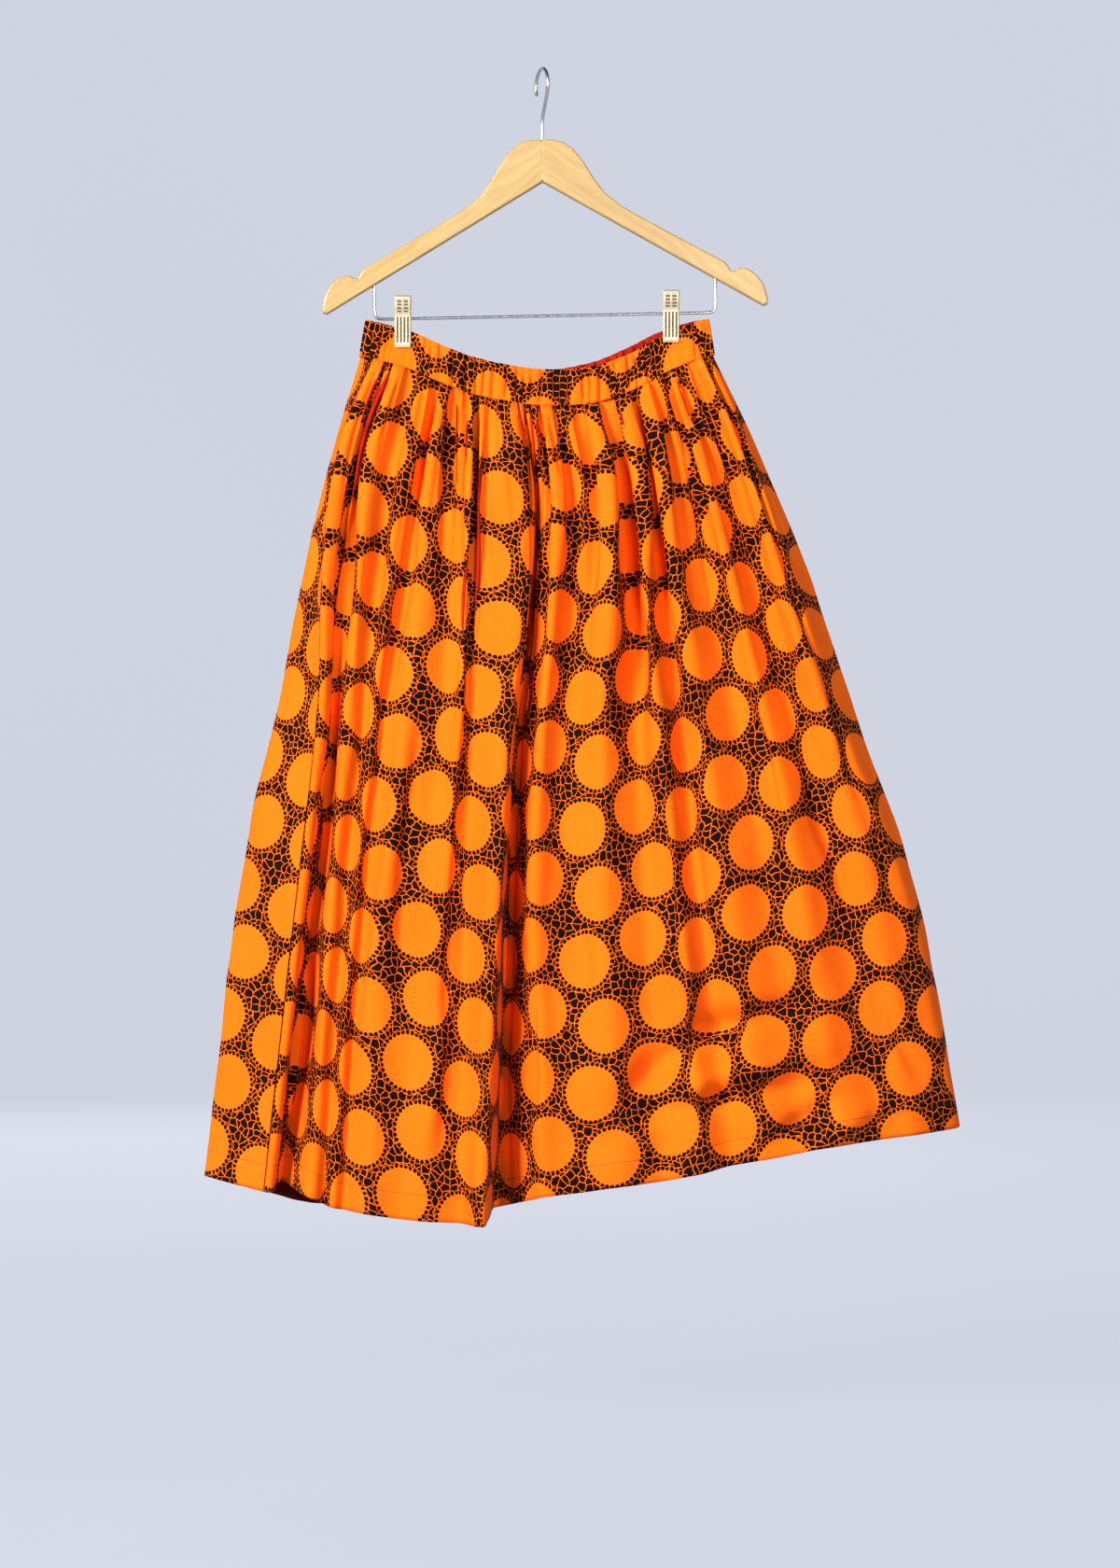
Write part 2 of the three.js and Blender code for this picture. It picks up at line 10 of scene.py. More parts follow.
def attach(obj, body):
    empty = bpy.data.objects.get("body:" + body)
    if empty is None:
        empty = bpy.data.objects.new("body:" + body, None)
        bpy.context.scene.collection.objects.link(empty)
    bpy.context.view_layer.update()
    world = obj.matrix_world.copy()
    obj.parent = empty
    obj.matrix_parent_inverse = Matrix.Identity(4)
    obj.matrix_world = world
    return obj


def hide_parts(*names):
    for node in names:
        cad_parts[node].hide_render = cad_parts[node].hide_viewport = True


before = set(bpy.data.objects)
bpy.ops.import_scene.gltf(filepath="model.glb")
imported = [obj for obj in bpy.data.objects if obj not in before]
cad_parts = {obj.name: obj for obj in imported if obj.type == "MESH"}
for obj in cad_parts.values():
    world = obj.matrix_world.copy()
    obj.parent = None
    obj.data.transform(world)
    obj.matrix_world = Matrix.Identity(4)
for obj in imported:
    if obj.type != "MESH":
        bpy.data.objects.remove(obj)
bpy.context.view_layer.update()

# ---------------------------------------------------------------------------------------------
# Skirt panels. Front and back are each one width of printed plain-weave cotton, 1.09 m wide,
# gathered three to one into the waistband. They are sewn to each other at the sides and to the
# band above, and hang in deep, uneven folds.
# ---------------------------------------------------------------------------------------------

MM = 0.001
PANEL_CUT = 1090
ROUND_CUT = 2 * PANEL_CUT
PANEL_WALL = 0.6
HEM_DEPTH = 27
SEAM_GAP = 0.5
FOLD_ROUNDING = 8
CALM_NEAR, CALM_FAR = 10, 110
OUT_MOST = 9
SIDE_INSET = 0.8
END_REACH = 5
MIDDLE_ROOM = 3.5

# Heights down the cloth, 0 at the waist seam and 1 at the hem, and the form at each.
LEVELS = np.array([0, 0.11, 0.26, 0.42, 0.68, 1])
HALF_DEPTH = [9, 30, 45, 57, 73, 90]
END_POWER = [0.25, 0.35, 0.45, 0.5, 0.6, 0.7]
MAIN_SHARE = [0.12, 0.5, 0.84, 0.93, 0.97, 0.98]
SPREAD = np.array([0, 0.165, 0.36, 0.53, 0.81, 1])

# Front fold lines, left to right: ridge (1) or valley (0), cloth from the line before, half waves
# of gathering in it, lift at the hem, place across at each level, hem height.
FRONT_FOLDS = [
    ("flap_edge", 1, 84, 2, 4, -163, -197, -215, -217, -239, -268, -1118),
    ("flap_valley", 0, 62, 2, 0, -152, -178, -200, -209, -230, -262, -1106),
    ("side_ridge", 1, 72, 2, 2, -142, -169, -180, -191, -209, -227, -1122),
    ("side_crease", 0, 22, 1, 0, -130, -151, -165, -178, -197, -216, -1128),
    ("inner_ridge", 1, 22, 1, 0, -118, -135, -153, -167, -188, -207, -1131),
    ("short_valley", 0, 22, 1, 0, -105, -122, -140, -158, -181, -197, -1133),
    ("slant_ridge", 1, 28, 1, 4, -94, -105, -117, -131, -158, -173, -1136),
    ("slant_valley", 0, 33, 2, 0, -83, -85, -90, -101, -128, -142, -1141),
    ("soft_ridge", 1, 29, 2, -4, -71, -73, -75, -82, -102, -115, -1143),
    ("edge_valley", 0, 39, 2, 0, -59, -61, -64, -71, -77, -78, -1145),
    ("lap_ridge", 1, 24, 2, 6, -43, -38, -33, -47, -58, -68, -1146),
    ("lap_edge", 1, 22, 0, 10, -27, -17, -17, -31, -42, -54, -1147),
    ("main_valley", 0, 74, 4, 0, -16, -8, -12, -26, -37, -47, -1134),
    ("broad_ridge", 1, 84, 4, -8, 2, 15, 10, -1, -10, -1, -1119),
    ("fading_valley", 0, 38, 2, 0, 25, 40, 35, 24, 21, 35, -1115),
    ("long_ridge", 1, 45, 2, 0, 49, 65, 65, 60, 63, 78, -1108),
    ("reed_left", 0, 47, 1, 0, 64, 84, 92, 95, 104, 122, -1103),
    ("reed_ridge", 1, 39, 1, 3, 78, 97, 104, 115, 136, 160, -1095),
    ("reed_right", 0, 32, 1, 0, 90, 107, 119, 132, 156, 184, -1089),
    ("fan_ridge_a", 1, 39, 1, 0, 103, 123, 138, 156, 187, 221, -1082),
    ("fan_valley_a", 0, 43, 2, 0, 116, 141, 163, 190, 225, 262, -1075),
    ("fan_ridge_b", 1, 40, 2, 0, 129, 156, 186, 216, 260, 300, -1069),
    ("fan_valley_b", 0, 39, 2, 0, 142, 173, 207, 242, 294, 337, -1065),
    ("fan_ridge_c", 1, 37, 2, 0, 155, 190, 229, 266, 324, 372, -1061),
    ("front_edge", 1, 50, 2, 0, 169, 205, 245, 287, 362, 417, -1056),
]

# Back fold lines, from the right side round to the left: ridge or valley, cloth from the line
# before, half waves, place across at waist and hem, hem height.
BACK_FOLDS = [
    ("side_tuck", 0, 14, 0, 165, 414, -1055),
    ("right_side", 1, 16, 0, 173, 420, -1055),
    ("back_valley_a", 0, 54, 2, 157, 384, -1058),
    ("back_ridge_a", 1, 60, 2, 142, 342, -1061),
    ("back_valley_b", 0, 56, 2, 120, 307, -1064),
    ("back_ridge_b", 1, 66, 2, 102, 257, -1070),
    ("back_valley_c", 0, 58, 3, 80, 220, -1076),
    ("back_ridge_c", 1, 74, 3, 64, 162, -1086),
    ("back_valley_d", 0, 58, 2, 42, 122, -1092),
    ("back_ridge_d", 1, 60, 2, 26, 80, -1098),
    ("back_valley_e", 0, 64, 2, 4, 32, -1106),
    ("back_ridge_e", 1, 60, 2, -12, -10, -1112),
    ("back_valley_f", 0, 60, 2, -34, -53, -1118),
    ("back_ridge_f", 1, 62, 2, -52, -98, -1126),
    ("back_valley_g", 0, 66, 3, -76, -148, -1133),
    ("back_ridge_g", 1, 60, 3, -94, -190, -1137),
    ("back_valley_h", 0, 56, 2, -116, -230, -1134),
    ("back_ridge_h", 1, 60, 2, -136, -273, -1126),
    ("back_valley_i", 0, 47, 2, -158, -303, -1113),
    ("left_side", 1, 63, 2, -183, -340, -1104),
]

# The waist seam: place across, its height in front, and how much higher the back sits.
WAIST_SEAM = np.array([
    (-183, -285, 0), (-138, -296, 0), (-103, -311, -1), (-73, -322, -2), (-43, -329, -2),
    (2, -335, 0), (52, -332, 5), (92, -319, 8), (117, -305, 6), (154, -289, 2), (173, -284, 0),
], dtype=float)


def smooth_lookup(places, values, at):
    """A smooth curve through values at places, read off at other places."""
    places, values, at = np.asarray(places, float), np.asarray(values, float), np.asarray(at, float)
    last = len(places) - 1
    i = np.clip(np.searchsorted(places, at, side="left") - 1, 0, last - 1)
    before = np.maximum(np.arange(last + 1) - 1, 0)
    after = np.minimum(np.arange(last + 1) + 1, last)
    slope = (values[after] - values[before]) / (places[after] - places[before])
    wide = places[i + 1] - places[i]
    t = np.clip((at - places[i]) / wide, 0, 1)
    rise = t * t * (3 - 2 * t)
    start = t * (1 - t) ** 2 * wide * slope[i]
    end = t * t * (t - 1) * wide * slope[i + 1]
    return values[i] + (values[i + 1] - values[i]) * rise + start + end


def at_level(values, down):
    return smooth_lookup(LEVELS, values, down)


def seam_height(across, back):
    front = smooth_lookup(WAIST_SEAM[:, 0], WAIST_SEAM[:, 1], across)
    return front + back * smooth_lookup(WAIST_SEAM[:, 0], WAIST_SEAM[:, 2], across)


def fold_loop():
    names, facts, across = [], [], []
    cut, phase = 8 - FRONT_FOLDS[0][2], 0.0
    for name, ridge, cloth, waves, lift, *rest in FRONT_FOLDS:
        cut, phase = cut + cloth, phase + waves * math.pi
        names.append(name)
        facts.append((ridge, cloth, lift, -1, rest[6], cut, phase))
        across.append(rest[:6])
    for name, ridge, cloth, waves, waist, low, hem in BACK_FOLDS:
        cut, phase = cut + cloth, phase + waves * math.pi
        names.append(name)
        facts.append((ridge, cloth, 0, 0 if name == "side_tuck" else 1, hem, cut, phase))
        across.append(waist + (low - waist) * SPREAD)
    columns = ("ridge", "cloth", "lift", "side", "hem", "cut", "phase")
    loop = dict(zip(columns, np.array(facts, float).T))
    return names, loop, np.array(across, float)


FOLD_NAMES, LOOP, FOLD_ACROSS = fold_loop()
RIGHT_SIDE = FOLD_NAMES.index("right_side")
LEFT_SIDE = FOLD_NAMES.index("left_side")


def side_places(down):
    return at_level(FOLD_ACROSS[LEFT_SIDE], down), at_level(FOLD_ACROSS[RIGHT_SIDE], down)


def envelope(across, down):
    left, right = side_places(down)
    u = np.minimum(np.abs((2 * across - left - right) / (right - left)), 1)
    reach = at_level(HALF_DEPTH, down) * (1 - u**2.4) ** at_level(END_POWER, down)
    return np.maximum(reach, END_REACH)


def fold_row(down):
    """Where each fold line stands in plan at one height, and how much of its cloth that takes up."""
    x = np.array([at_level(line, down) for line in FOLD_ACROSS])
    reach = envelope(x, down)
    run = x - np.roll(x, 1)
    spare = at_level(MAIN_SHARE, down) * np.sqrt(np.maximum(LOOP["cloth"] ** 2 - run**2, 0))
    deep = np.where(LOOP["ridge"] == 1, 0, (spare + np.roll(spare, -1)) / 2)
    out = reach + LOOP["lift"] * down
    least = np.where(LOOP["side"] > 0, 0.35 * out, 0)
    y = LOOP["side"] * np.maximum(np.maximum(out - deep, least), np.minimum(out, 3))
    chord = np.hypot(x - np.roll(x, 1), y - np.roll(y, 1))
    taken = np.clip(chord / LOOP["cloth"], 0.3, 1)
    return {**LOOP, "x": x, "y": y, "taken": taken}


def between(row, cut):
    """The fold facts between two lines, at places round the flat cut."""
    first, count = row["cut"][0], len(row["cut"])
    at = np.mod(cut - first, ROUND_CUT) + first
    i = np.searchsorted(row["cut"], at, side="right")
    a, b = i - 1, i % count
    t = (at - row["cut"][a]) / row["cloth"][b]
    mixed = {key: row[key][a] + (row[key][b] - row[key][a]) * t for key in ("x", "y", "hem", "side")}
    step = np.where(i < count, row["phase"][b] - row["phase"][a], row["phase"][b])
    spare = 1 - row["taken"][b]
    mixed["phase"] = row["phase"][a] + step * t
    mixed["wave"] = row["cloth"][b] / np.maximum(step / math.pi, 0.5)
    mixed["taken"] = row["taken"][b]
    mixed["bend"] = np.sqrt(4 * spare + spare**2 + 0.39 * spare**3)
    return mixed


def rounded(row, cut):
    """The same, with the fold lines' corners rounded."""
    steps = np.linspace(-1.8, 1.8, 19)
    weights = np.exp(-(steps**2) / 2)
    weights /= weights.sum()
    found = between(row, cut + steps[:, None] * FOLD_ROUNDING)
    return {key: weights @ found[key] for key in ("x", "y", "hem", "bend")}


def smoothstep(at, low, high):
    t = np.clip((at - low) / (high - low), 0, 1)
    return t * t * (3 - 2 * t)


def side_calm(cut):
    """0 at the side seams, where there is no gathering, to 1 well away from them."""
    away = []
    for line in (RIGHT_SIDE, LEFT_SIDE):
        apart = np.mod(cut - LOOP["cut"][line], ROUND_CUT)
        away.append(np.minimum(apart, ROUND_CUT - apart))
    return smoothstep(np.minimum(*away), CALM_NEAR, CALM_FAR)


def clear_of_middle(x, y, side, down):
    """Keeps each fold on its own side of the middle plane, so front and back never meet."""
    left, right = side_places(down)
    room = MIDDLE_ROOM * np.clip((np.minimum(x - left, right - x) - 4) / 10, 0, 1)
    out = y * side
    soft = 2 * room
    kept = room + room * np.exp(np.minimum((out - soft) / np.maximum(room, 1e-6), 0))
    return np.where((room > 0) & (out < soft), kept, out) * side


def plan_point(row, cut, down):
    """Places in plan at one height: the fold's own line with the gathers' waves laid over it."""
    here, ahead, behind = (rounded(row, cut + step) for step in (0, 3, -3))
    run = np.hypot(ahead["x"] - behind["x"], ahead["y"] - behind["y"])
    tx, ty = (ahead["x"] - behind["x"]) / run, (ahead["y"] - behind["y"]) / run
    line = between(row, cut)
    phase, wave = line["phase"] + 0.55 * np.sin(0.41 * line["phase"] + 1), line["wave"]
    # Some gathers run on further down than others, and some stand out more.
    lasting = 0.40 + 0.16 * np.cos(0.83 * phase + 1.1) + 0.1 * np.cos(2.3 * phase)
    fading = 1 - 0.8 * smoothstep(down, 0.06, lasting)
    a = here["bend"] * side_calm(cut) * fading * (1 + 0.16 * np.cos(1.37 * phase + 0.4))
    j1 = a / 2 - a**3 / 16 + a**5 / 384
    j2 = a**2 / 8 - a**4 / 96 + a**6 / 3072
    squash = 0.55 + 0.45 * min(down / 0.06, 1)
    # Round broad ridges with narrow valleys between them.
    out = np.minimum(2 * wave / math.pi * j1, OUT_MOST) * squash * (np.cos(phase) - 0.3 * np.cos(2 * phase))
    slide = wave * np.minimum(j2 / math.pi, 0.24 * line["taken"]) * np.sin(2 * phase)
    x = here["x"] + tx * slide + ty * out
    side = np.where(here["y"] < 0, -1, 1)
    y = clear_of_middle(x, here["y"] + ty * slide - tx * out, side, down)
    return x, y, here["hem"]


def cloth_grid(cuts, downs):
    """Points of the cloth's middle surface in millimetres, a row for each height down."""
    x, y, _ = plan_point(fold_row(0), cuts, 0)
    back = smoothstep(y, -3, 3)
    top = seam_height(x, back) - SEAM_GAP
    rows = []
    for down in downs:
        x, y, hem = plan_point(fold_row(down), cuts, down)
        rows.append(np.stack([x, y, top + (hem - top) * down], axis=-1))
    return np.array(rows)


def outward(grid):
    """A unit normal at each point of a grid, away from the body."""
    down = np.gradient(grid, axis=0)
    along = np.gradient(grid, axis=1)
    normal = np.cross(down, along)
    return normal / np.linalg.norm(normal, axis=-1, keepdims=True)


def fade_to_edges(t, ease):
    return np.clip(np.sin(np.clip(t, 0, 1) * math.pi), 0, 1) ** ease


def crease(grid, points, wide):
    """How strongly a soft crease through points (across, height) acts at each point of a grid."""
    points = np.array(points, float)
    lengths = np.hypot(*np.diff(points, axis=0).T)
    gone = np.concatenate([[0], np.cumsum(lengths)])
    best, at = np.full(grid.shape[:2], 1e9), np.zeros(grid.shape[:2])
    for i, long in enumerate(lengths):
        run = (points[i + 1] - points[i]) / long
        rel = grid[..., (0, 2)] - points[i]
        t = np.clip(rel @ run, 0, long)
        away = np.hypot(rel[..., 0] - t * run[0], rel[..., 1] - t * run[1])
        at = np.where(away < best, (gone[i] + t) / gone[-1], at)
        best = np.minimum(best, away)
    return np.exp(-((best / wide) ** 2)) * fade_to_edges(at, 0.7)


# Soft creases: depth (in is negative), half width, then points across and up.
FRONT_CREASES = [
    (-13, 13, (62, -1046), (118, -985), (160, -954), (204, -947), (250, -932), (285, -906)),
    (7, 14, (96, -1062), (160, -1008), (220, -992), (292, -966)),
    (-9, 12, (48, -1072), (98, -1040), (160, -1026), (240, -1012), (316, -990)),
    (-9, 11, (214, -1076), (262, -1044), (306, -1012)),
    (6, 11, (236, -1096), (290, -1058), (330, -1028)),
    (-8, 6, (-7, -900), (-9, -960), (-9, -1022), (-20, -1050)),
    (6, 5, (242, -530), (262, -585), (286, -655), (294, -690)),
    (-7, 6, (262, -700), (272, -745), (292, -792), (306, -850)),
    (-6, 7, (196, -610), (222, -690), (236, -762)),
    (5, 8, (150, -700), (168, -790), (176, -880)),
    (-5, 9, (20, -760), (26, -830), (44, -900), (52, -980)),
    (-6, 7, (-230, -860), (-236, -950), (-250, -1040)),
    (-7, 6, (-122, -455), (-140, -540), (-159, -657)),
    (-6, 7, (-118, -635), (-130, -740), (-137, -797), (-141, -930)),
    (5, 7, (-124, -540), (-136, -657), (-152, -797), (-170, -930), (-186, -1050)),
    (5, 8, (-96, -930), (-104, -1010), (-120, -1090)),
    (-5, 8, (-268, -960), (-282, -1040), (-300, -1090)),
    (-6, 10, (330, -900), (352, -960), (380, -1010)),
    (-5, 5, (120, -700), (126, -790), (132, -870), (146, -940)),
    (-5, 5, (86, -470), (98, -560), (103, -657)),
    (-5, 6, (-62, -440), (-70, -520), (-74, -610)),
    (5, 5, (-210, -520), (-216, -640), (-220, -760)),
]
BACK_CREASES = [
    (-11, 13, (-60, -1010), (-130, -960), (-190, -940), (-240, -905)),
    (-9, 12, (180, -1000), (230, -950), (300, -925)),
    (6, 12, (150, -1030), (215, -985), (310, -960)),
    (-6, 8, (60, -620), (52, -720), (44, -800)),
    (-6, 8, (-110, -560), (-128, -650), (-150, -760)),
    (5, 9, (10, -860), (-4, -950), (-20, -1050)),
    (-6, 9, (205, -700), (240, -800), (262, -880)),
    (-6, 9, (-250, -780), (-270, -880), (-290, -980)),
    (5, 7, (110, -480), (126, -580), (140, -660)),
    (-5, 6, (-60, -450), (-66, -540), (-80, -620)),
]


def tucks(cuts, downs, seed):
    """Short narrow creases that run down from the gathering, no two alike."""
    draw = np.random.default_rng(seed)
    move = np.zeros((len(downs), len(cuts)))
    place = cuts[0] + 12
    while place < cuts[-1] - 12:
        long, lean = draw.choice([0.07, 0.12, 0.2, 0.34], p=[0.3, 0.3, 0.25, 0.15]), draw.uniform(-60, 60)
        deep, wide = draw.uniform(2.8, 5.8), draw.uniform(3.7, 5.2)
        for r, down in enumerate(downs):
            runs = smoothstep(down, 0.008, 0.03) * (1 - smoothstep(down, 0.35 * long, long))
            move[r] -= deep * runs * np.exp(-(((cuts - place - lean * down) / wide) ** 2))
        place += draw.uniform(13, 27)
    return move


def settle(grid, cuts, downs, creases, seed):
    """Listed creases, short tucks, then the slow unevenness of hanging cotton."""
    normal = outward(grid)
    move = np.zeros(grid.shape[:2])
    for depth, wide, *points in creases:
        move += depth * crease(grid, points, wide)
    slow = np.zeros_like(move)
    for r, down in enumerate(downs):
        for c, cut in enumerate(cuts):
            broad = noise.noise(Vector((cut / 95, down * 6.5, 3.1)))
            small = noise.noise(Vector((cut / 30, down * 17, 9.7)))
            slow[r, c] = 3.6 * broad + 1.3 * small
    free = smoothstep(np.asarray(downs), 0.03, 0.3)[:, None] * smoothstep(
        np.minimum(cuts - cuts[0], cuts[-1] - cuts), 2, 40
    )
    standing = smoothstep(np.abs(grid[..., 1]), 5, 12)
    return grid + normal * ((move + slow) * free + tucks(cuts, downs, seed) * standing)[..., None]


def lay_out(grid, cuts):
    """The flat cut's own measure in metres at each point of a grid: across, and up from the seam."""
    steps = np.linalg.norm(np.diff(grid, axis=0), axis=-1)
    gone = np.vstack([np.zeros(len(cuts)), np.cumsum(steps, axis=0)])
    blur = np.hanning(103)
    pad = len(blur) // 2
    even = [np.convolve(np.pad(line, pad, mode="edge"), blur / blur.sum(), mode="valid") for line in gone]
    return np.stack([np.broadcast_to(cuts, gone.shape), -np.array(even)], axis=-1) * MM


def cloth_shell(name, grid, cut, inner, outer, finish, normal=None):
    """A closed thin wall on a grid in millimetres, with its flat cut as the UV map "cut"."""
    normal = outward(grid) if normal is None else normal
    rows, cols = grid.shape[:2]
    count = rows * cols
    inner, outer = (np.broadcast_to(np.asarray(v, float), grid.shape[:2])[..., None] for v in (inner, outer))
    points = np.concatenate([(grid + normal * outer).reshape(-1, 3), (grid + normal * inner).reshape(-1, 3)])
    at = np.arange(count).reshape(rows, cols)
    a, b, c, d = at[:-1, :-1], at[1:, :-1], at[1:, 1:], at[:-1, 1:]
    front = np.stack([a, b, c, d], axis=-1).reshape(-1, 4)
    faces = [front, front[:, ::-1] + count]
    rim = np.concatenate([at[0, ::-1], at[1:, 0], at[-1, 1:], at[-2:0:-1, -1]])
    ahead = np.roll(rim, -1)
    edge = np.stack([rim, rim + count, ahead + count, ahead], axis=-1)
    faces.append(edge)
    faces = np.concatenate(faces)
    mesh = bpy.data.meshes.new(name)
    mesh.from_pydata((points * MM).tolist(), [], faces.tolist())
    corners = np.empty(len(mesh.loops), dtype=np.int64)
    mesh.loops.foreach_get("vertex_index", corners)
    flat = cut.reshape(-1, 2)[corners % count]
    mesh.uv_layers.new(name="cut").data.foreach_set("uv", flat.ravel())
    u, v = np.meshgrid(np.linspace(0.002, 0.998, cols), np.linspace(0.498, 0.002, rows))
    own = np.stack([u, v], axis=-1).reshape(-1, 2)
    spot = own[corners % count]
    on_rim = np.arange(len(corners)) >= 8 * (rows - 1) * (cols - 1)
    spot[:, 1] += np.where((corners < count) | on_rim, 0.5, 0)
    mesh.uv_layers.new(name="OFBake").data.foreach_set("uv", spot.ravel())
    mesh.polygons.foreach_set("use_smooth", np.ones(len(mesh.polygons), bool))
    mesh.materials.append(finish)
    mesh.validate()
    made = bpy.data.objects.new(name, mesh)
    bpy.context.scene.collection.objects.link(made)
    return made


class Finish:
    """A node material in the making, with its main shader ready."""

    def __init__(self, name):
        self.material = bpy.data.materials.new(name)
        self.material.use_nodes = True
        self.nodes = self.material.node_tree.nodes
        self.links = self.material.node_tree.links
        self.shader = self.nodes["Principled BSDF"]

    def set(self, **values):
        for name, value in values.items():
            self.put(self.shader.inputs[name.replace("_", " ")], value)

    def put(self, socket, value):
        if isinstance(value, bpy.types.NodeSocket):
            self.links.new(value, socket)
        else:
            socket.default_value = value

    def node(self, kind, settings=None, **values):
        made = self.nodes.new("ShaderNode" + kind)
        for key, value in (settings or {}).items():
            setattr(made, key, value)
        for name, value in values.items():
            self.put(made.inputs[name.replace("_", " ")], value)
        return made

    def calc(self, operation, *values):
        made = self.nodes.new("ShaderNodeMath")
        made.operation = operation
        for socket, value in zip(made.inputs, values):
            self.put(socket, value)
        return made.outputs[0]

    def vector(self, operation, *values, out=0):
        made = self.nodes.new("ShaderNodeVectorMath")
        made.operation = operation
        for socket, value in zip(made.inputs, values):
            self.put(socket, value)
        return made.outputs[out]

    def scaled(self, vector, factor):
        made = self.nodes.new("ShaderNodeVectorMath")
        made.operation = "SCALE"
        self.put(made.inputs[0], vector)
        self.put(made.inputs["Scale"], factor)
        return made.outputs[0]

    def blend(self, factor, a, b, kind="RGBA"):
        made = self.nodes.new("ShaderNodeMix")
        made.data_type = kind
        made.clamp_factor = True
        first = {"RGBA": 6, "VECTOR": 4, "FLOAT": 2}[kind]
        self.put(made.inputs[0], factor)
        self.put(made.inputs[first], a)
        self.put(made.inputs[first + 1], b)
        return made.outputs[{"RGBA": 2, "VECTOR": 1, "FLOAT": 0}[kind]]

    def fade(self, value, low, high, start=0.0, end=1.0):
        made = self.node("MapRange", {"interpolation_type": "SMOOTHSTEP"}, Value=value, From_Min=low,
                         From_Max=high, To_Min=start, To_Max=end)
        return made.outputs["Result"]

    def noise(self, vector, scale, detail=2.0, roughness=0.5, out="Fac"):
        made = self.node("TexNoise", Vector=vector, Scale=scale, Detail=detail, Roughness=roughness)
        return made.outputs[out]

    def stretched(self, vector, scale):
        return self.vector("MULTIPLY", vector, scale)

    def bump(self, height, strength, distance):
        made = self.node("Bump", Height=height, Strength=strength, Distance=distance)
        return made.outputs["Normal"]


# The print, in metres on the flat cloth: round spots in a close repeat of squares and triangles,
# on a ground of dark pebbles with a ring of small round beads about each spot.
REPEAT = 0.131
SPOTS = [(0.183, 0.683), (0.817, 0.317), (0.317, 0.183), (0.683, 0.817)]
RING_RADIUS = 0.0288
RING_COUNT = 36
BEAD_SMALL, BEAD_LARGE = 0.0017, 0.0024
BEAD_GROUT = 0.0007
PEBBLE_GROUT = 0.0004
PEBBLE_ROUNDING = 0.0009
PEBBLE_SIZE = 0.0076
PRINT_SHIFT = (0.0786, 0.125)
ORANGE = (0.99, 0.192, 0.007, 1)
DEEP_ORANGE = (0.95, 0.155, 0.004, 1)
INK = (0.003, 0.0006, 0.0004, 1)
THREAD_PITCH = 0.0005
# Painted shade: the dark red of the cloth's reverse stands in for shade on the inside faces.
REVERSE_PAINTED_SHADE_RED = (0.4, 0.02, 0.004, 1)


def print_mask(f, place):
    """1 where the dark print lies, from a place on the flat cut in metres."""
    wobble = f.vector("SUBTRACT", f.noise(place, 60, out="Color"), (0.5, 0.5, 0.5))
    shift = (PRINT_SHIFT[0], PRINT_SHIFT[1], 0)
    place = f.vector("ADD", f.vector("ADD", place, shift), f.scaled(wobble, 0.0016))
    place = f.vector("MULTIPLY", place, (1, 1, 0))
    nearest, length = None, None
    for across, up in SPOTS:
        rel = f.vector("MULTIPLY_ADD", place, (1 / REPEAT,) * 3, (-across, -up, 0))
        rel = f.vector("WRAP", rel, (0.5,) * 3, (-0.5,) * 3)
        away = f.vector("LENGTH", rel, out="Value")
        if nearest is None:
            nearest, length = rel, away
            continue
        nearest = f.blend(f.calc("LESS_THAN", away, length), nearest, rel, "VECTOR")
        length = f.calc("MINIMUM", length, away)
    radius = f.calc("MULTIPLY", length, REPEAT)
    apart = f.node("SeparateXYZ", Vector=nearest)
    angle = f.calc("ARCTAN2", apart.outputs["Y"], apart.outputs["X"])
    turn = f.calc("MULTIPLY", angle, RING_COUNT / (2 * math.pi))
    off = f.calc("SUBTRACT", f.calc("FRACT", f.calc("ADD", turn, RING_COUNT)), 0.5)
    along = f.calc("MULTIPLY", off, 2 * math.pi * RING_RADIUS / RING_COUNT)
    patch = f.noise(place, 260, 0)
    out = f.calc("SUBTRACT", radius, f.fade(patch, 0.2, 0.8, RING_RADIUS - 0.0004, RING_RADIUS + 0.0006))
    bead = f.calc("SQRT", f.calc("ADD", f.calc("MULTIPLY", along, along), f.calc("MULTIPLY", out, out)))
    bead = f.calc("SUBTRACT", bead, f.fade(patch, 0.25, 0.75, BEAD_SMALL, BEAD_LARGE))
    ring = f.fade(bead, -0.0001, 0.0002, 1, 0)
    sway = f.vector("SUBTRACT", f.noise(place, 115, 1, out="Color"), (0.5, 0.5, 0.5))
    bent = f.vector("ADD", place, f.scaled(sway, 0.0060))
    cells = f.node("TexVoronoi", {"feature": "DISTANCE_TO_EDGE", "voronoi_dimensions": "2D"},
                   Vector=bent, Scale=1 / PEBBLE_SIZE, Randomness=0.82)
    edge = f.calc("MULTIPLY", cells.outputs["Distance"], PEBBLE_SIZE)
    edge = f.calc("SUBTRACT", edge, PEBBLE_GROUT)
    rim = f.calc("MINIMUM", f.calc("SUBTRACT", bead, BEAD_GROUT), f.calc("SUBTRACT", radius, RING_RADIUS))
    edge = f.calc("SMOOTH_MIN", edge, rim, PEBBLE_ROUNDING)
    pebble = f.fade(edge, -0.00018, 0.00014)
    return f.calc("MAXIMUM", ring, pebble)


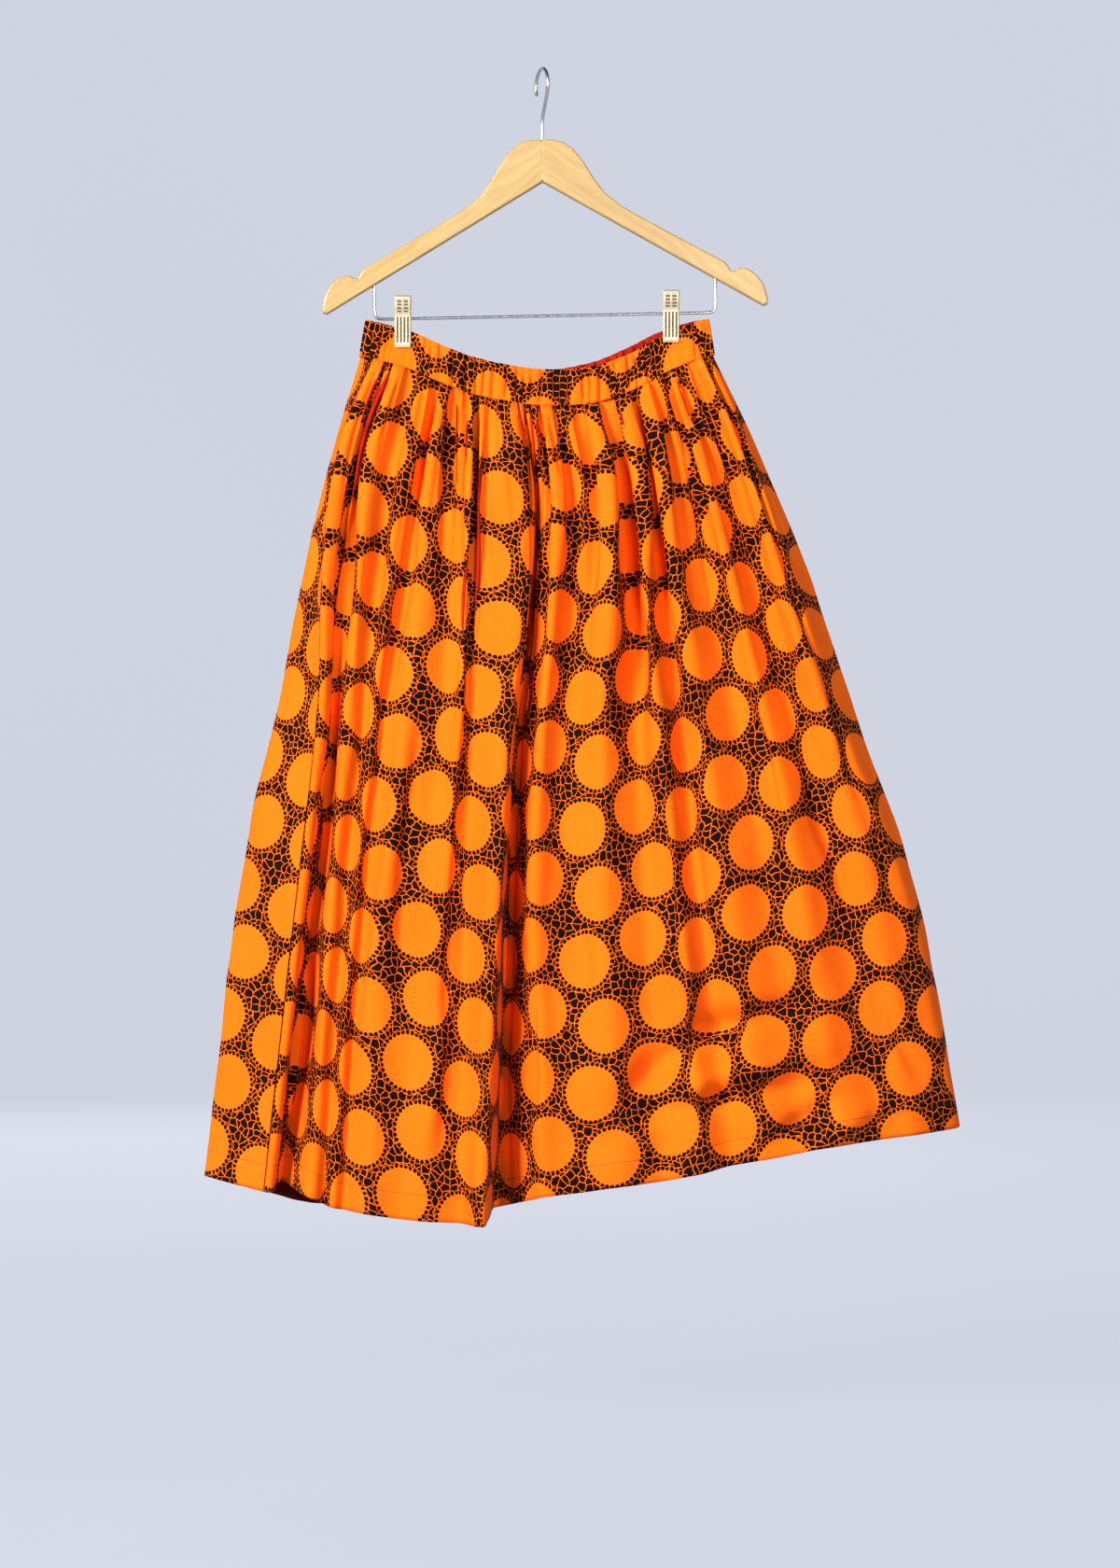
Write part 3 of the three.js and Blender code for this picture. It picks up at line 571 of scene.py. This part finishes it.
def printed_cotton(name):
    """Plain-weave cotton dyed orange and printed on one side."""
    f = Finish(name)
    flat = f.node("UVMap", {"uv_map": "cut"}).outputs["UV"]
    ink = print_mask(f, flat)
    weft = f.noise(f.stretched(flat, (60, 2600, 1)), 1.0, 2)
    warp = f.noise(f.stretched(flat, (2600, 60, 1)), 1.0, 2)
    threads = f.calc("ADD", weft, warp)
    broad = f.noise(flat, 9, 3)
    shade = f.calc("ADD", f.fade(threads, 0.7, 1.3, 0, 0.55), f.fade(broad, 0.3, 0.7, 0, 0.45))
    dyed = f.blend(shade, DEEP_ORANGE, ORANGE)
    colour = f.blend(f.calc("MULTIPLY", ink, 0.99), dyed, INK)
    # The reverse, on the lower half of the piece's own map, has little ink and is painted a dark red as
    # painted shade for the inside of the cloth.
    painted_shade_reverse = f.blend(f.calc("MULTIPLY", ink, 0.3), REVERSE_PAINTED_SHADE_RED, INK)
    half = f.node("SeparateXYZ", Vector=f.node("UVMap", {"uv_map": "OFBake"}).outputs["UV"]).outputs["Y"]
    colour = f.blend(f.calc("LESS_THAN", half, 0.5), colour, painted_shade_reverse)
    apart = f.node("SeparateXYZ", Vector=flat)
    warp_wave, weft_wave = (
        f.calc("SINE", f.calc("MULTIPLY", apart.outputs[way], 2 * math.pi / THREAD_PITCH)) for way in "XY"
    )
    weave = f.calc("MULTIPLY", warp_wave, weft_wave)
    height = f.calc("ADD", f.calc("MULTIPLY", weave, 0.25), threads)
    wrinkle = f.noise(flat, 55, 3, 0.55)
    normal = f.bump(height, 0.22, 0.0002)
    wrinkled = f.node("Bump", Height=wrinkle, Strength=0.35, Distance=0.002, Normal=normal)
    rough = f.fade(threads, 0.7, 1.3, 0.86, 0.76)
    f.set(Base_Color=colour, Roughness=rough, Normal=wrinkled.outputs["Normal"])
    f.set(Sheen_Weight=0.02, Sheen_Roughness=0.5, Specular_IOR_Level=0.12)
    return f.material


COTTON = printed_cotton("orange_spot_cotton")

PANEL_COLUMNS = 384
PANEL_ROWS = 122
HEM_ROWS = 6
HANGING_LENGTH = 800
hem_top = 1 - HEM_DEPTH / HANGING_LENGTH
PANEL_DOWNS = np.concatenate([
    np.linspace(0, 1, PANEL_ROWS - HEM_ROWS, endpoint=False) ** 0.92 * hem_top,
    np.linspace(hem_top, 1, HEM_ROWS + 1),
])

panels = {}
for side, start, creases, seed in (("front", 0, FRONT_CREASES, 5), ("back", PANEL_CUT, BACK_CREASES, 8)):
    cuts = np.linspace(start + SIDE_INSET, start + PANEL_CUT - SIDE_INSET, PANEL_COLUMNS)
    grid = settle(cloth_grid(cuts, PANEL_DOWNS), cuts, PANEL_DOWNS, creases, seed)
    normal = outward(grid)
    cut = lay_out(grid, cuts)
    name = f"{side}_panel"
    piece = cloth_shell(name, grid, cut, -PANEL_WALL / 2, PANEL_WALL / 2, COTTON, normal)
    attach(piece, "root")
    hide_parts(f"skirt_{side}")
    panels[side] = {"piece": piece, "grid": grid, "normal": normal, "cut": cut}

# ---------------------------------------------------------------------------------------------
# Hem. The lower edge of each panel is turned up 27 mm inside and held by one line of dark
# machine stitching, which shows outside as short dashes.
# ---------------------------------------------------------------------------------------------

HEM_WALL = 0.5
HEM_CLEAR = 0.25
STITCH_ENDS = 6
STITCH_PITCH = 3.1
STITCH_LONG = 2.4
STITCH_THICK = 0.28


def strands(name, starts, ends, normals, thick, finish, sides=6):
    """Short rounded lengths of thread lying along a surface, joined as one mesh. Millimetres."""
    run = ends - starts
    run /= np.linalg.norm(run, axis=-1, keepdims=True)
    across = np.cross(normals, run)
    turns = np.linspace(0, 2 * math.pi, sides, endpoint=False)
    round_off = [(0.0, 0.35), (0.25, 1.0), (0.75, 1.0), (1.0, 0.35)]
    rings = []
    for t, full in round_off:
        middle = starts + (ends - starts) * t
        for turn in turns:
            off = across * math.cos(turn) + normals * math.sin(turn)
            rings.append(middle + off * (thick * full))
    points = np.stack(rings, axis=1)
    each = points.shape[1]
    one = []
    for k in range(len(round_off) - 1):
        for s in range(sides):
            a, b = k * sides + s, k * sides + (s + 1) % sides
            one.append((a, b, b + sides, a + sides))
    caps = [tuple(range(sides))[::-1], tuple(range(each - sides, each))]
    faces = []
    for n in range(len(points)):
        faces += [tuple(n * each + i for i in face) for face in one + caps]
    mesh = bpy.data.meshes.new(name)
    mesh.from_pydata((points.reshape(-1, 3) * MM).tolist(), [], faces)
    mesh.polygons.foreach_set("use_smooth", np.ones(len(mesh.polygons), bool))
    mesh.materials.append(finish)
    made = bpy.data.objects.new(name, mesh)
    bpy.context.scene.collection.objects.link(made)
    return made


def sewing_thread():
    """Dark brown polyester thread."""
    f = Finish("dark_sewing_thread")
    place = f.node("TexCoord").outputs["Object"]
    lay = f.noise(f.scaled(place, 900), 1.0, 2)
    f.set(Base_Color=f.blend(lay, (0.03, 0.012, 0.008, 1), (0.075, 0.03, 0.02, 1)), Roughness=0.6)
    f.set(Normal=f.bump(lay, 0.3, 0.0001))
    return f.material


THREAD = sewing_thread()

for side, panel in panels.items():
    rows = slice(-HEM_ROWS - 1, None)
    grid, normal, cut = panel["grid"][rows], panel["normal"][rows], panel["cut"][rows]
    face = -PANEL_WALL / 2 - HEM_CLEAR
    turned = cut.copy()
    turned[..., 1] = 2 * cut[-1, :, 1] - cut[..., 1]
    hem = cloth_shell(f"{side}_hem_turn_up", grid, turned, face - HEM_WALL, face, COTTON, normal)
    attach(hem, "root")
    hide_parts(f"hem_{side}")
    # Each stitch lies on the outside, along the top of the turn-up.
    line = panel["grid"][-HEM_ROWS - 1] + panel["normal"][-HEM_ROWS - 1] * (PANEL_WALL / 2 + 0.05)
    line += (panel["grid"][-HEM_ROWS] - panel["grid"][-HEM_ROWS - 1]) * 0.45
    out = panel["normal"][-HEM_ROWS - 1]
    gone = np.concatenate([[0], np.cumsum(np.linalg.norm(np.diff(line, axis=0), axis=1))])
    begins = np.arange(STITCH_ENDS, gone[-1] - STITCH_ENDS, STITCH_PITCH)

    def along(at, values):
        return np.stack([np.interp(at, gone, values[:, k]) for k in range(3)], axis=-1)

    stitches = strands(f"{side}_hem_stitches", along(begins, line), along(begins + STITCH_LONG, line),
                       along(begins + STITCH_LONG / 2, out), STITCH_THICK, THREAD)
    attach(stitches, "root")

# ---------------------------------------------------------------------------------------------
# Waistband. A folded casing of the same print, 36 mm deep, with flat elastic inside it that
# puckers it into short upright creases. It is sewn to the panels and sags between the clips.
# ---------------------------------------------------------------------------------------------

BAND_HEIGHT = 36
BAND_WALL = 1.8
BAND_TAPER = 0.034
BAND_CLOTH = 490
BAND_LEAST = 1.4
PUCKER_WIDE = 1.5
PUCKER_GAPS, PUCKER_ODDS = [6, 8.5, 11, 14], [0.15, 0.3, 0.3, 0.25]
CLIP_WIDTH = 16
CLIPS = {"left": -139, "right": 129}
BAND_COLUMNS = 420
BAND_ROWS = 19


def pinch(across):
    """How near the clips press the band to the middle plane, 1 right under a jaw."""
    gap = np.min([np.maximum(np.abs(across - x) - CLIP_WIDTH / 2 - 1, 0) for x in CLIPS.values()], axis=0)
    return np.exp(-((gap / 12) ** 2))


def band_point(turn, tall, back):
    """A point of the band: turn runs -1 to 1 round one half, tall 0 to 1 up from the seam."""
    right, left = FOLD_ACROSS[RIGHT_SIDE][0] - 1, FOLD_ACROSS[LEFT_SIDE][0] + 1
    across = (left + right) / 2 + (right - left) / 2 * np.sin(turn * math.pi / 2)
    x = across * (1 - BAND_TAPER * tall)
    endwise = np.sqrt(np.maximum(1 - turn * turn, 0))
    bottom = envelope(across, 0) - 1.8
    top = 5 * endwise + 1.2 * np.abs(np.cos(turn * 9)) * endwise
    top += (1.3 - top) * pinch(x)
    held = np.minimum(tall / 0.45, 1)
    low = np.maximum(bottom, 1.3 * endwise)
    out = low + (np.minimum(top, bottom + 3) - low) * held
    out += 0.35 * np.cos(turn * 60) * endwise * (1 - pinch(x))
    y = (1 if back else -1) * np.maximum(out * np.minimum(endwise * 8, 1), 0.5 + 0.8 * endwise)
    return np.stack([x, y, seam_height(across, back) + BAND_HEIGHT * tall], axis=-1)


def puckers(length, tall, seed):
    """Upright creases, unevenly spaced and slanted, some stopping short of the top or the seam."""
    draw = np.random.default_rng(seed)
    places = [4.0]
    while places[-1] < length[-1]:
        places.append(places[-1] + draw.choice(PUCKER_GAPS, p=PUCKER_ODDS) + draw.uniform(-1, 1))
    places = np.array(places)
    slant, deep = draw.uniform(-2.5, 2.5, len(places)), draw.uniform(2.0, 4.6, len(places))
    low, high = draw.uniform(-0.5, 0.35, len(places)), draw.uniform(0.7, 1.6, len(places))
    move = np.zeros((len(tall), len(length)))
    for r, t in enumerate(tall):
        apart = length[:, None] - (places + slant * (t - 0.5))
        runs = smoothstep(t, low - 0.2, low + 0.1) * (1 - smoothstep(t, high - 0.2, high + 0.2))
        move[r] = -(np.exp(-np.abs(apart / PUCKER_WIDE) ** 1.3) * deep * runs).sum(axis=1)
        nearest = np.abs(apart).min(axis=1)
        move[r] += 1.2 * smoothstep(nearest, 0, 5)
    return move


for side, back, seed in (("front", 0, 11), ("back", 1, 23)):
    turn = np.linspace(-1, 1, BAND_COLUMNS)
    turn = turn[::-1] if back else turn
    tall = np.linspace(1, -0.012, BAND_ROWS)
    grid = np.array([band_point(turn, t, back) for t in tall])
    middle = grid[len(tall) // 2]
    length = np.concatenate([[0], np.cumsum(np.linalg.norm(np.diff(middle, axis=0), axis=1))])
    normal = outward(grid)
    ends = smoothstep(np.minimum(length, length[-1] - length), 3, 14)
    free = ends * (1 - 0.85 * pinch(middle[:, 0]))
    edge = 0.35 + 0.65 * smoothstep(np.minimum(1 - tall, tall + 0.012), 0.0, 0.16)
    half = BAND_WALL / 2 * (0.45 + 0.55 * edge)[:, None]
    least = np.minimum(np.abs(grid[..., 1]), BAND_LEAST)
    grid = grid + normal * (puckers(length, tall, seed) * free * (0.6 + 0.4 * edge)[:, None])[..., None]
    grid[..., 1] = np.maximum(grid[..., 1], least) if back else np.minimum(grid[..., 1], -least)
    start = 1.5 if back else 0.37
    across = start + length / length[-1] * BAND_CLOTH * MM
    cut = np.stack(np.meshgrid(across, 0.31 + tall * BAND_HEIGHT * MM), axis=-1)
    piece = cloth_shell(f"{side}_waistband", grid, cut, -half, half, COTTON)
    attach(piece, "root")
    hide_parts(f"waistband_{side}")

# ---------------------------------------------------------------------------------------------
# Hanger. Two halves of light hardwood, glued at the middle under the hook with the grain running
# down each arm. Each is shaped with a notch and a round tip, and finished in clear lacquer.
# ---------------------------------------------------------------------------------------------

ARM_SLOPE = math.radians(36)


def lacquered_wood(name, side):
    """Pale hardwood with its grain running down the arm on one side of the joint."""
    f = Finish(name)
    place = f.node("TexCoord").outputs["Object"]
    turned = f.node("Mapping", {"vector_type": "POINT"}, Vector=place).outputs["Vector"]
    turned.node.inputs["Rotation"].default_value = (0, -side * ARM_SLOPE, 0)
    turned.node.inputs["Location"].default_value = (0.13 * side, 0.02, 0.3)
    sway = f.noise(f.stretched(turned, (7, 30, 30)), 1.0, 2)
    bands_at = f.calc("ADD", f.calc("MULTIPLY", f.node("SeparateXYZ", Vector=turned).outputs["Z"], 95),
                      f.calc("MULTIPLY", sway, 5))
    rings = f.calc("MULTIPLY_ADD", f.calc("SINE", f.calc("MULTIPLY", bands_at, 6.283)), 0.5, 0.5)
    fibre = f.noise(f.stretched(turned, (45, 1500, 1500)), 1.0, 3, 0.6)
    cloud = f.noise(f.stretched(turned, (5, 24, 24)), 1.0, 2)
    shade = f.calc("ADD", f.calc("MULTIPLY", rings, 0.28), f.fade(fibre, 0.3, 0.7, 0, 0.42))
    shade = f.calc("ADD", shade, f.fade(cloud, 0.3, 0.7, 0, 0.35))
    colour = f.blend(shade, (0.52, 0.365, 0.145, 1), (0.38, 0.23, 0.075, 1))
    f.set(Base_Color=colour, Roughness=f.fade(fibre, 0.3, 0.7, 0.36, 0.46))
    f.set(Coat_Weight=0.2, Coat_Roughness=0.25, Normal=f.bump(fibre, 0.04, 0.0003))
    return f.material


for node, side in (("hanger_left", -1), ("hanger_right", 1)):
    wood = lacquered_wood(f"{node}_wood", side)
    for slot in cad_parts[node].material_slots:
        slot.material = wood

# The glued joint is sanded flush: across, front to back, round the section of the glue.
GLUE_ROUND = [(0.13, 3.6), (2.5, 5.96), (-2.5, 5.96), (-0.13, 3.6)]
GLUE_TOP, GLUE_BOTTOM = -71.2, -110.4
HANGER_TILT = math.radians(1.15)
TILT_PIVOT = -80


def tilted(point):
    x, y, z = point
    z -= TILT_PIVOT
    cos, sin = math.cos(HANGER_TILT), math.sin(HANGER_TILT)
    return (x * cos - z * sin, y, x * sin + z * cos + TILT_PIVOT)


glue_round = GLUE_ROUND + [(-x, -y) for x, y in GLUE_ROUND]
sides = len(glue_round)
glue_points = [tilted((x, y, z)) for z in (GLUE_TOP, GLUE_BOTTOM) for x, y in glue_round]
glue_faces = [tuple(range(sides)), tuple(range(sides, 2 * sides))[::-1]]
glue_faces += [(i, i + sides, (i + 1) % sides + sides, (i + 1) % sides) for i in range(sides)]
glue_mesh = bpy.data.meshes.new("joint_glue_line")
glue_mesh.from_pydata([[v * MM for v in point] for point in glue_points], [], glue_faces)
glue_mesh.materials.append(wood)
glue = bpy.data.objects.new("joint_glue_line", glue_mesh)
bpy.context.scene.collection.objects.link(glue)
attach(glue, "root")

# ---------------------------------------------------------------------------------------------
# Hook and clip bar. Bright drawn wire: the hook is screwed into the joint and turned a little
# out of line; the clip bar is bent down from two holes in the arms and runs level between them.
# ---------------------------------------------------------------------------------------------

HOOK_WIRE = 3.6
RAIL_REACH = 15
HOOK_TURN = 21
BAR_WIRE = 3
BAR_HALF = 170.5
BAR_DROP = -245.4
BAR_TOP = -204
BAR_BEND = 9


def bright_wire(name, tint, rough):
    f = Finish(name)
    place = f.node("TexCoord").outputs["Object"]
    drawn = f.noise(f.scaled(place, 260), 1.0, 3)
    spots = f.noise(f.scaled(place, 60), 1.0, 2)
    f.set(Base_Color=f.blend(spots, tint, tuple(0.86 * v for v in tint[:3]) + (1,)), Metallic=1.0)
    f.set(Roughness=f.fade(drawn, 0.3, 0.7, rough, rough + 0.09), Normal=f.bump(drawn, 0.02, 0.0002))
    return f.material


CHROME = bright_wire("bright_wire", (0.5, 0.5, 0.52, 1), 0.22)


def wire(name, points, thick, finish):
    """Round wire along a smooth curve that the points shape."""
    curve = bpy.data.curves.new(name, "CURVE")
    curve.dimensions = "3D"
    curve.bevel_depth = thick / 2 * MM
    curve.bevel_resolution = 4
    curve.use_fill_caps = True
    curve.resolution_u = 6
    line = curve.splines.new("NURBS")
    line.points.add(len(points) - 1)
    for spot, point in zip(line.points, points):
        spot.co = (*(v * MM for v in point), 1)
    line.order_u = 3
    line.use_endpoint_u = True
    curve.materials.append(finish)
    made = bpy.data.objects.new(name, curve)
    bpy.context.scene.collection.objects.link(made)
    return made


ring = RAIL_REACH + HOOK_WIRE / 2
hook_line = [(0, 0, -91), (0, 0, -72), (0, 0, -52), (-3.5, 0, -43), (-9.5, 0, -34)]
for angle in range(200, -30, -12):
    turn = math.radians(angle)
    hook_line.append((ring * math.cos(turn), 0, -RAIL_REACH + ring * math.sin(turn)))
swing = math.radians(90 + HOOK_TURN)
hook_line = [(x * math.cos(swing), x * math.sin(swing), z) for x, _, z in hook_line]
hook = wire("hook_wire", hook_line, HOOK_WIRE, CHROME)
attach(hook, "root")
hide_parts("hook")

bar_line = []
for side in (-1, 1):
    x = side * BAR_HALF
    end = [(x, 0, BAR_TOP), (x, 0, BAR_TOP - 16), (x, 0, BAR_DROP + BAR_BEND)]
    end += [(x - side * BAR_BEND * 0.12, 0, BAR_DROP + BAR_BEND * 0.12), (x - side * BAR_BEND, 0, BAR_DROP)]
    end += [(x - side * 20, 0, BAR_DROP), (x - side * 110, 0, BAR_DROP)]
    bar_line += end if side < 0 else end[::-1]
bar = wire("clip_bar_wire", [tilted(p) for p in bar_line], BAR_WIRE, CHROME)
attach(bar, "root")
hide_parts("clip_bar")

# ---------------------------------------------------------------------------------------------
# Clips. Each is two pressed steel jaws in a warm nickel plate on a coiled spring round the bar.
# The front jaw has rows of short grip grooves above and four upright flutes below.
# ---------------------------------------------------------------------------------------------

JAW_WALL = 1.2
JAW_LINE = [
    (5.4, 22.5), (8.6, 21), (7.2, 12), (4.4, 3), (4.2, -3), (3.6, -12), (3.1, -20), (3.1, -26), (4.6, -29),
]
EAR_LINE = [(4.0, 7.5), (1.2, 4.6), (0.4, 2.8), (0.4, -2.8), (1.2, -4.6), (3.4, -8.0), (3.9, -2), (4.0, 3)]
EAR_HALF = 0.35
FLUTES = (-5.25, -1.75, 1.75, 5.25)
FLUTE_LOW, FLUTE_HIGH = 23.2, 49.4
GRIP_ROWS = (18.4, 15.0, 11.6, 8.2)
GRIP_FROM = 26.0
SPRING_TURNS = 8
SPRING_REACH = 2.5
SPRING_LONG = 10.8


def bar_height(x):
    return BAR_DROP + x * math.sin(HANGER_TILT)


def jaw_relief(across, up):
    """How far the pressed grooves sink, from a place on the jaw's outer face."""
    flute = np.max([1 - smoothstep(np.abs(across - x), 0.35, 0.75) for x in FLUTES], axis=0)
    flute *= smoothstep(up, -24.5, -23.3) * (1 - smoothstep(up, 0.2, 1.4))
    dash = np.max([1 - smoothstep(np.abs(up - z), 0.3, 0.75) for z in GRIP_ROWS], axis=0)
    dash *= 1 - smoothstep(np.abs(np.abs(across) - 3.3), 2.0, 2.5)
    lip = np.exp(-(((up + 26.6) / 0.5) ** 2))
    return 0.55 * flute + 0.45 * dash + 0.3 * lip


def jaw_mesh(name, clip, side, finish):
    """A pressed jaw: the plate on its side line, with turned ears that carry the spring."""
    line = np.array(JAW_LINE, float)
    gone = np.concatenate([[0], np.cumsum(np.hypot(*np.diff(line, axis=0).T))])
    along = np.linspace(0, gone[-1], 116)
    reach, up = np.interp(along, gone, line[:, 0]), np.interp(along, gone, line[:, 1])
    blur = np.exp(-np.linspace(-1.6, 1.6, 9) ** 2)
    reach = np.convolve(np.pad(reach, len(blur) // 2, mode="edge"), blur / blur.sum(), mode="valid")
    across = np.linspace(-CLIP_WIDTH / 2, CLIP_WIDTH / 2, 58)
    grid = np.empty((len(along), len(across), 3))
    order = across if side < 0 else -across
    grid[..., 0] = clip + order[None, :]
    corner = 0.8 * smoothstep(np.abs(across), CLIP_WIDTH / 2 - 1.2, CLIP_WIDTH / 2)
    grid[..., 1] = side * (reach[:, None] - corner[None, :])
    grid[..., 2] = bar_height(clip) + up[:, None]
    relief = jaw_relief(order[None, :] + 0 * up[:, None], up[:, None] + 0 * across[None, :])
    outer = JAW_WALL / 2 - relief
    cut = np.stack(np.meshgrid(across * MM, along * MM), axis=-1)
    made = cloth_shell(name, grid, cut, -JAW_WALL / 2, outer, finish)
    points, faces, count = [], [], len(EAR_LINE)
    for end in (-1, 1):
        x, base = clip + end * (CLIP_WIDTH / 2 - 1.1), len(points)
        for face in (x - EAR_HALF, x + EAR_HALF):
            ring_at = [(face, side * out, bar_height(clip) + rise) for out, rise in EAR_LINE]
            points += [tuple(v * MM for v in point) for point in ring_at]
        faces.append(tuple(base + i for i in range(count)))
        faces.append(tuple(base + count + i for i in reversed(range(count))))
        for i in range(count):
            j = (i + 1) % count
            faces.append((base + i, base + count + i, base + count + j, base + j))
    mesh = bpy.data.meshes.new(name + "_ears")
    mesh.from_pydata(points, [], faces)
    mesh.materials.append(finish)
    ears = bpy.data.objects.new(name + "_ears", mesh)
    bpy.context.scene.collection.objects.link(ears)
    ears.parent = made
    return made


def nickel_plate():
    """Warm plate, with painted shade darkening the grooves to near black. Metres."""
    f = Finish("warm_nickel_plate")
    place = f.node("TexCoord").outputs["Object"]
    flat = f.node("SeparateXYZ", Vector=f.node("UVMap", {"uv_map": "cut"}).outputs["UV"])
    across, along = flat.outputs["X"], flat.outputs["Y"]
    flute = None
    for x in FLUTES:
        away = f.calc("ABSOLUTE", f.calc("SUBTRACT", across, x * MM))
        flute = away if flute is None else f.calc("MINIMUM", flute, away)
    low, high = FLUTE_LOW * MM, FLUTE_HIGH * MM
    reach = f.calc("MULTIPLY", f.fade(along, low, low + 0.001), f.fade(along, high - 0.0006, high, 1, 0))
    flute = f.calc("MULTIPLY", f.fade(flute, 0.0007, 0.0011, 1, 0), reach)
    dash = None
    for up in GRIP_ROWS:
        away = f.calc("ABSOLUTE", f.calc("SUBTRACT", along, (GRIP_FROM - up) * MM))
        dash = away if dash is None else f.calc("MINIMUM", dash, away)
    column = f.calc("ABSOLUTE", f.calc("SUBTRACT", f.calc("ABSOLUTE", across), 0.0033))
    dash = f.calc("MULTIPLY", f.fade(dash, 0.0006, 0.0011, 1, 0), f.fade(column, 0.0020, 0.0026, 1, 0))
    groove_painted_shade = f.calc("MAXIMUM", flute, dash)
    brushed = f.noise(f.stretched(place, (1800, 1800, 90)), 1.0, 2)
    wear = f.noise(f.scaled(place, 120), 1.0, 2)
    colour = f.blend(wear, (0.62, 0.54, 0.38, 1), (0.50, 0.42, 0.28, 1))
    # Painted shade: the grooves are darkened to near black.
    colour = f.blend(f.calc("MULTIPLY", groove_painted_shade, 0.92), colour, (0.05, 0.035, 0.022, 1))
    f.set(Base_Color=colour, Metallic=0.4, Roughness=f.fade(brushed, 0.3, 0.7, 0.42, 0.5))
    f.set(Normal=f.bump(brushed, 0.02, 0.0002))
    return f.material


NICKEL = nickel_plate()

for clip_side, x in CLIPS.items():
    for jaw_side, side in (("front", -1), ("back", 1)):
        jaw = jaw_mesh(f"{clip_side}_clip_{jaw_side}_jaw", x, side, NICKEL)
        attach(jaw, "root")
        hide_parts(f"clip_{clip_side}_jaw_{jaw_side}")
    coil = []
    for step in range(SPRING_TURNS * 12 + 1):
        turn, share = step / 12 * 2 * math.pi, step / (SPRING_TURNS * 12)
        coil.append((x + (share - 0.5) * SPRING_LONG, SPRING_REACH * math.cos(turn),
                     bar_height(x) + SPRING_REACH * math.sin(turn)))
    spring = wire(f"{clip_side}_clip_spring", coil, 1.0, CHROME)
    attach(spring, "root")
    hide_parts(f"clip_{clip_side}_spring")

# ---------------------------------------------------------------------------------------------
# Studio. A plain pale floor curving up into a round wall, soft light from the upper left, a
# weaker one from the front and one for the back, and a level camera square to the front.
# ---------------------------------------------------------------------------------------------

# In metres.
FLOOR_HEIGHT = -1.36
WALL_REACH = 6.0
WALL_CURVE = 0.6
WALL_TOP = 4.5
CAMERA_AWAY = 4.5
FRAME_TALL = 1.567
AIM = Vector((0.018, 0, -0.713))


def plain_paper(name, colour, glow):
    """Pale paper, evenly lit from behind so that it looks the same all the way round."""
    f = Finish(name)
    place = f.node("TexCoord").outputs["Object"]
    soft = f.noise(place, 0.6, 2)
    dimmer = tuple(0.97 * v for v in glow[:3]) + (1,)
    f.set(Base_Color=colour, Roughness=1.0, Specular_IOR_Level=0.0)
    f.set(Emission_Color=f.blend(soft, glow, dimmer), Emission_Strength=1.0)
    return f.material


def round_sweep(name, finish, sides=72):
    flat = WALL_REACH - WALL_CURVE
    profile = [(0.02, FLOOR_HEIGHT), (flat / 2, FLOOR_HEIGHT), (flat, FLOOR_HEIGHT)]
    for step in range(1, 12):
        turn = math.radians(90 * step / 12)
        rise = WALL_CURVE * (1 - math.cos(turn))
        profile.append((flat + WALL_CURVE * math.sin(turn), FLOOR_HEIGHT + rise))
    profile += [(WALL_REACH, FLOOR_HEIGHT + WALL_CURVE), (WALL_REACH, WALL_TOP)]
    points = []
    for away, z in profile:
        for step in range(sides):
            turn = step / sides * 2 * math.pi
            points.append((away * math.cos(turn), away * math.sin(turn), z))
    faces = [tuple(range(sides))]
    for ring_at in range(len(profile) - 1):
        for step in range(sides):
            a, b = ring_at * sides + step, ring_at * sides + (step + 1) % sides
            faces.append((a, a + sides, b + sides, b))
    mesh = bpy.data.meshes.new(name)
    mesh.from_pydata(points, [], faces)
    mesh.polygons.foreach_set("use_smooth", np.ones(len(faces), bool))
    mesh.materials.append(finish)
    made = bpy.data.objects.new(name, mesh)
    # The paper is seen and mirrored but sheds no light on the cloth.
    made.visible_diffuse = False
    made.visible_shadow = False
    bpy.context.scene.collection.objects.link(made)
    return made


round_sweep("studio_sweep", plain_paper("pale_paper", (0.04, 0.041, 0.045, 1), (0.535, 0.555, 0.63, 1)))


def soft_light(name, place, size, power, tint, mirrored=True):
    light = bpy.data.lights.new(name, "AREA")
    light.shape = "RECTANGLE"
    light.size, light.size_y = size
    light.energy = power
    light.color = tint
    made = bpy.data.objects.new(name, light)
    made.location = place
    made.visible_camera = False
    made.visible_glossy = mirrored
    made.rotation_mode = "QUATERNION"
    made.rotation_quaternion = (AIM - Vector(place)).to_track_quat("-Z", "Y")
    bpy.context.scene.collection.objects.link(made)


soft_light("key_light", (-2.9, -3.2, 1.0), (1.0, 1.0), 272, (1, 0.985, 0.96))
soft_light("front_light", (1.2, -3.9, 0.2), (1.6, 1.6), 84, (1, 0.99, 0.98))
soft_light("back_light", (-0.9, 4.2, 0.6), (1.8, 1.8), 150, (1, 0.99, 0.98), mirrored=False)

world = bpy.data.worlds.new("studio_air")
world.use_nodes = True
world.node_tree.nodes["Background"].inputs["Color"].default_value = (1.0, 0.98, 0.97, 1)
world.node_tree.nodes["Background"].inputs["Strength"].default_value = 0.14
bpy.context.scene.world = world

camera = bpy.data.objects.new("camera", bpy.data.cameras.new("camera"))
camera.data.sensor_width = 36
camera.data.lens = 36 * CAMERA_AWAY / FRAME_TALL
camera.location = AIM - Vector((0, CAMERA_AWAY, 0))
camera.rotation_euler = (math.pi / 2, 0, 0)
bpy.context.scene.collection.objects.link(camera)
bpy.context.scene.camera = camera
bpy.context.scene.view_settings.view_transform = "Standard"
bpy.context.scene.view_settings.look = "Medium High Contrast"
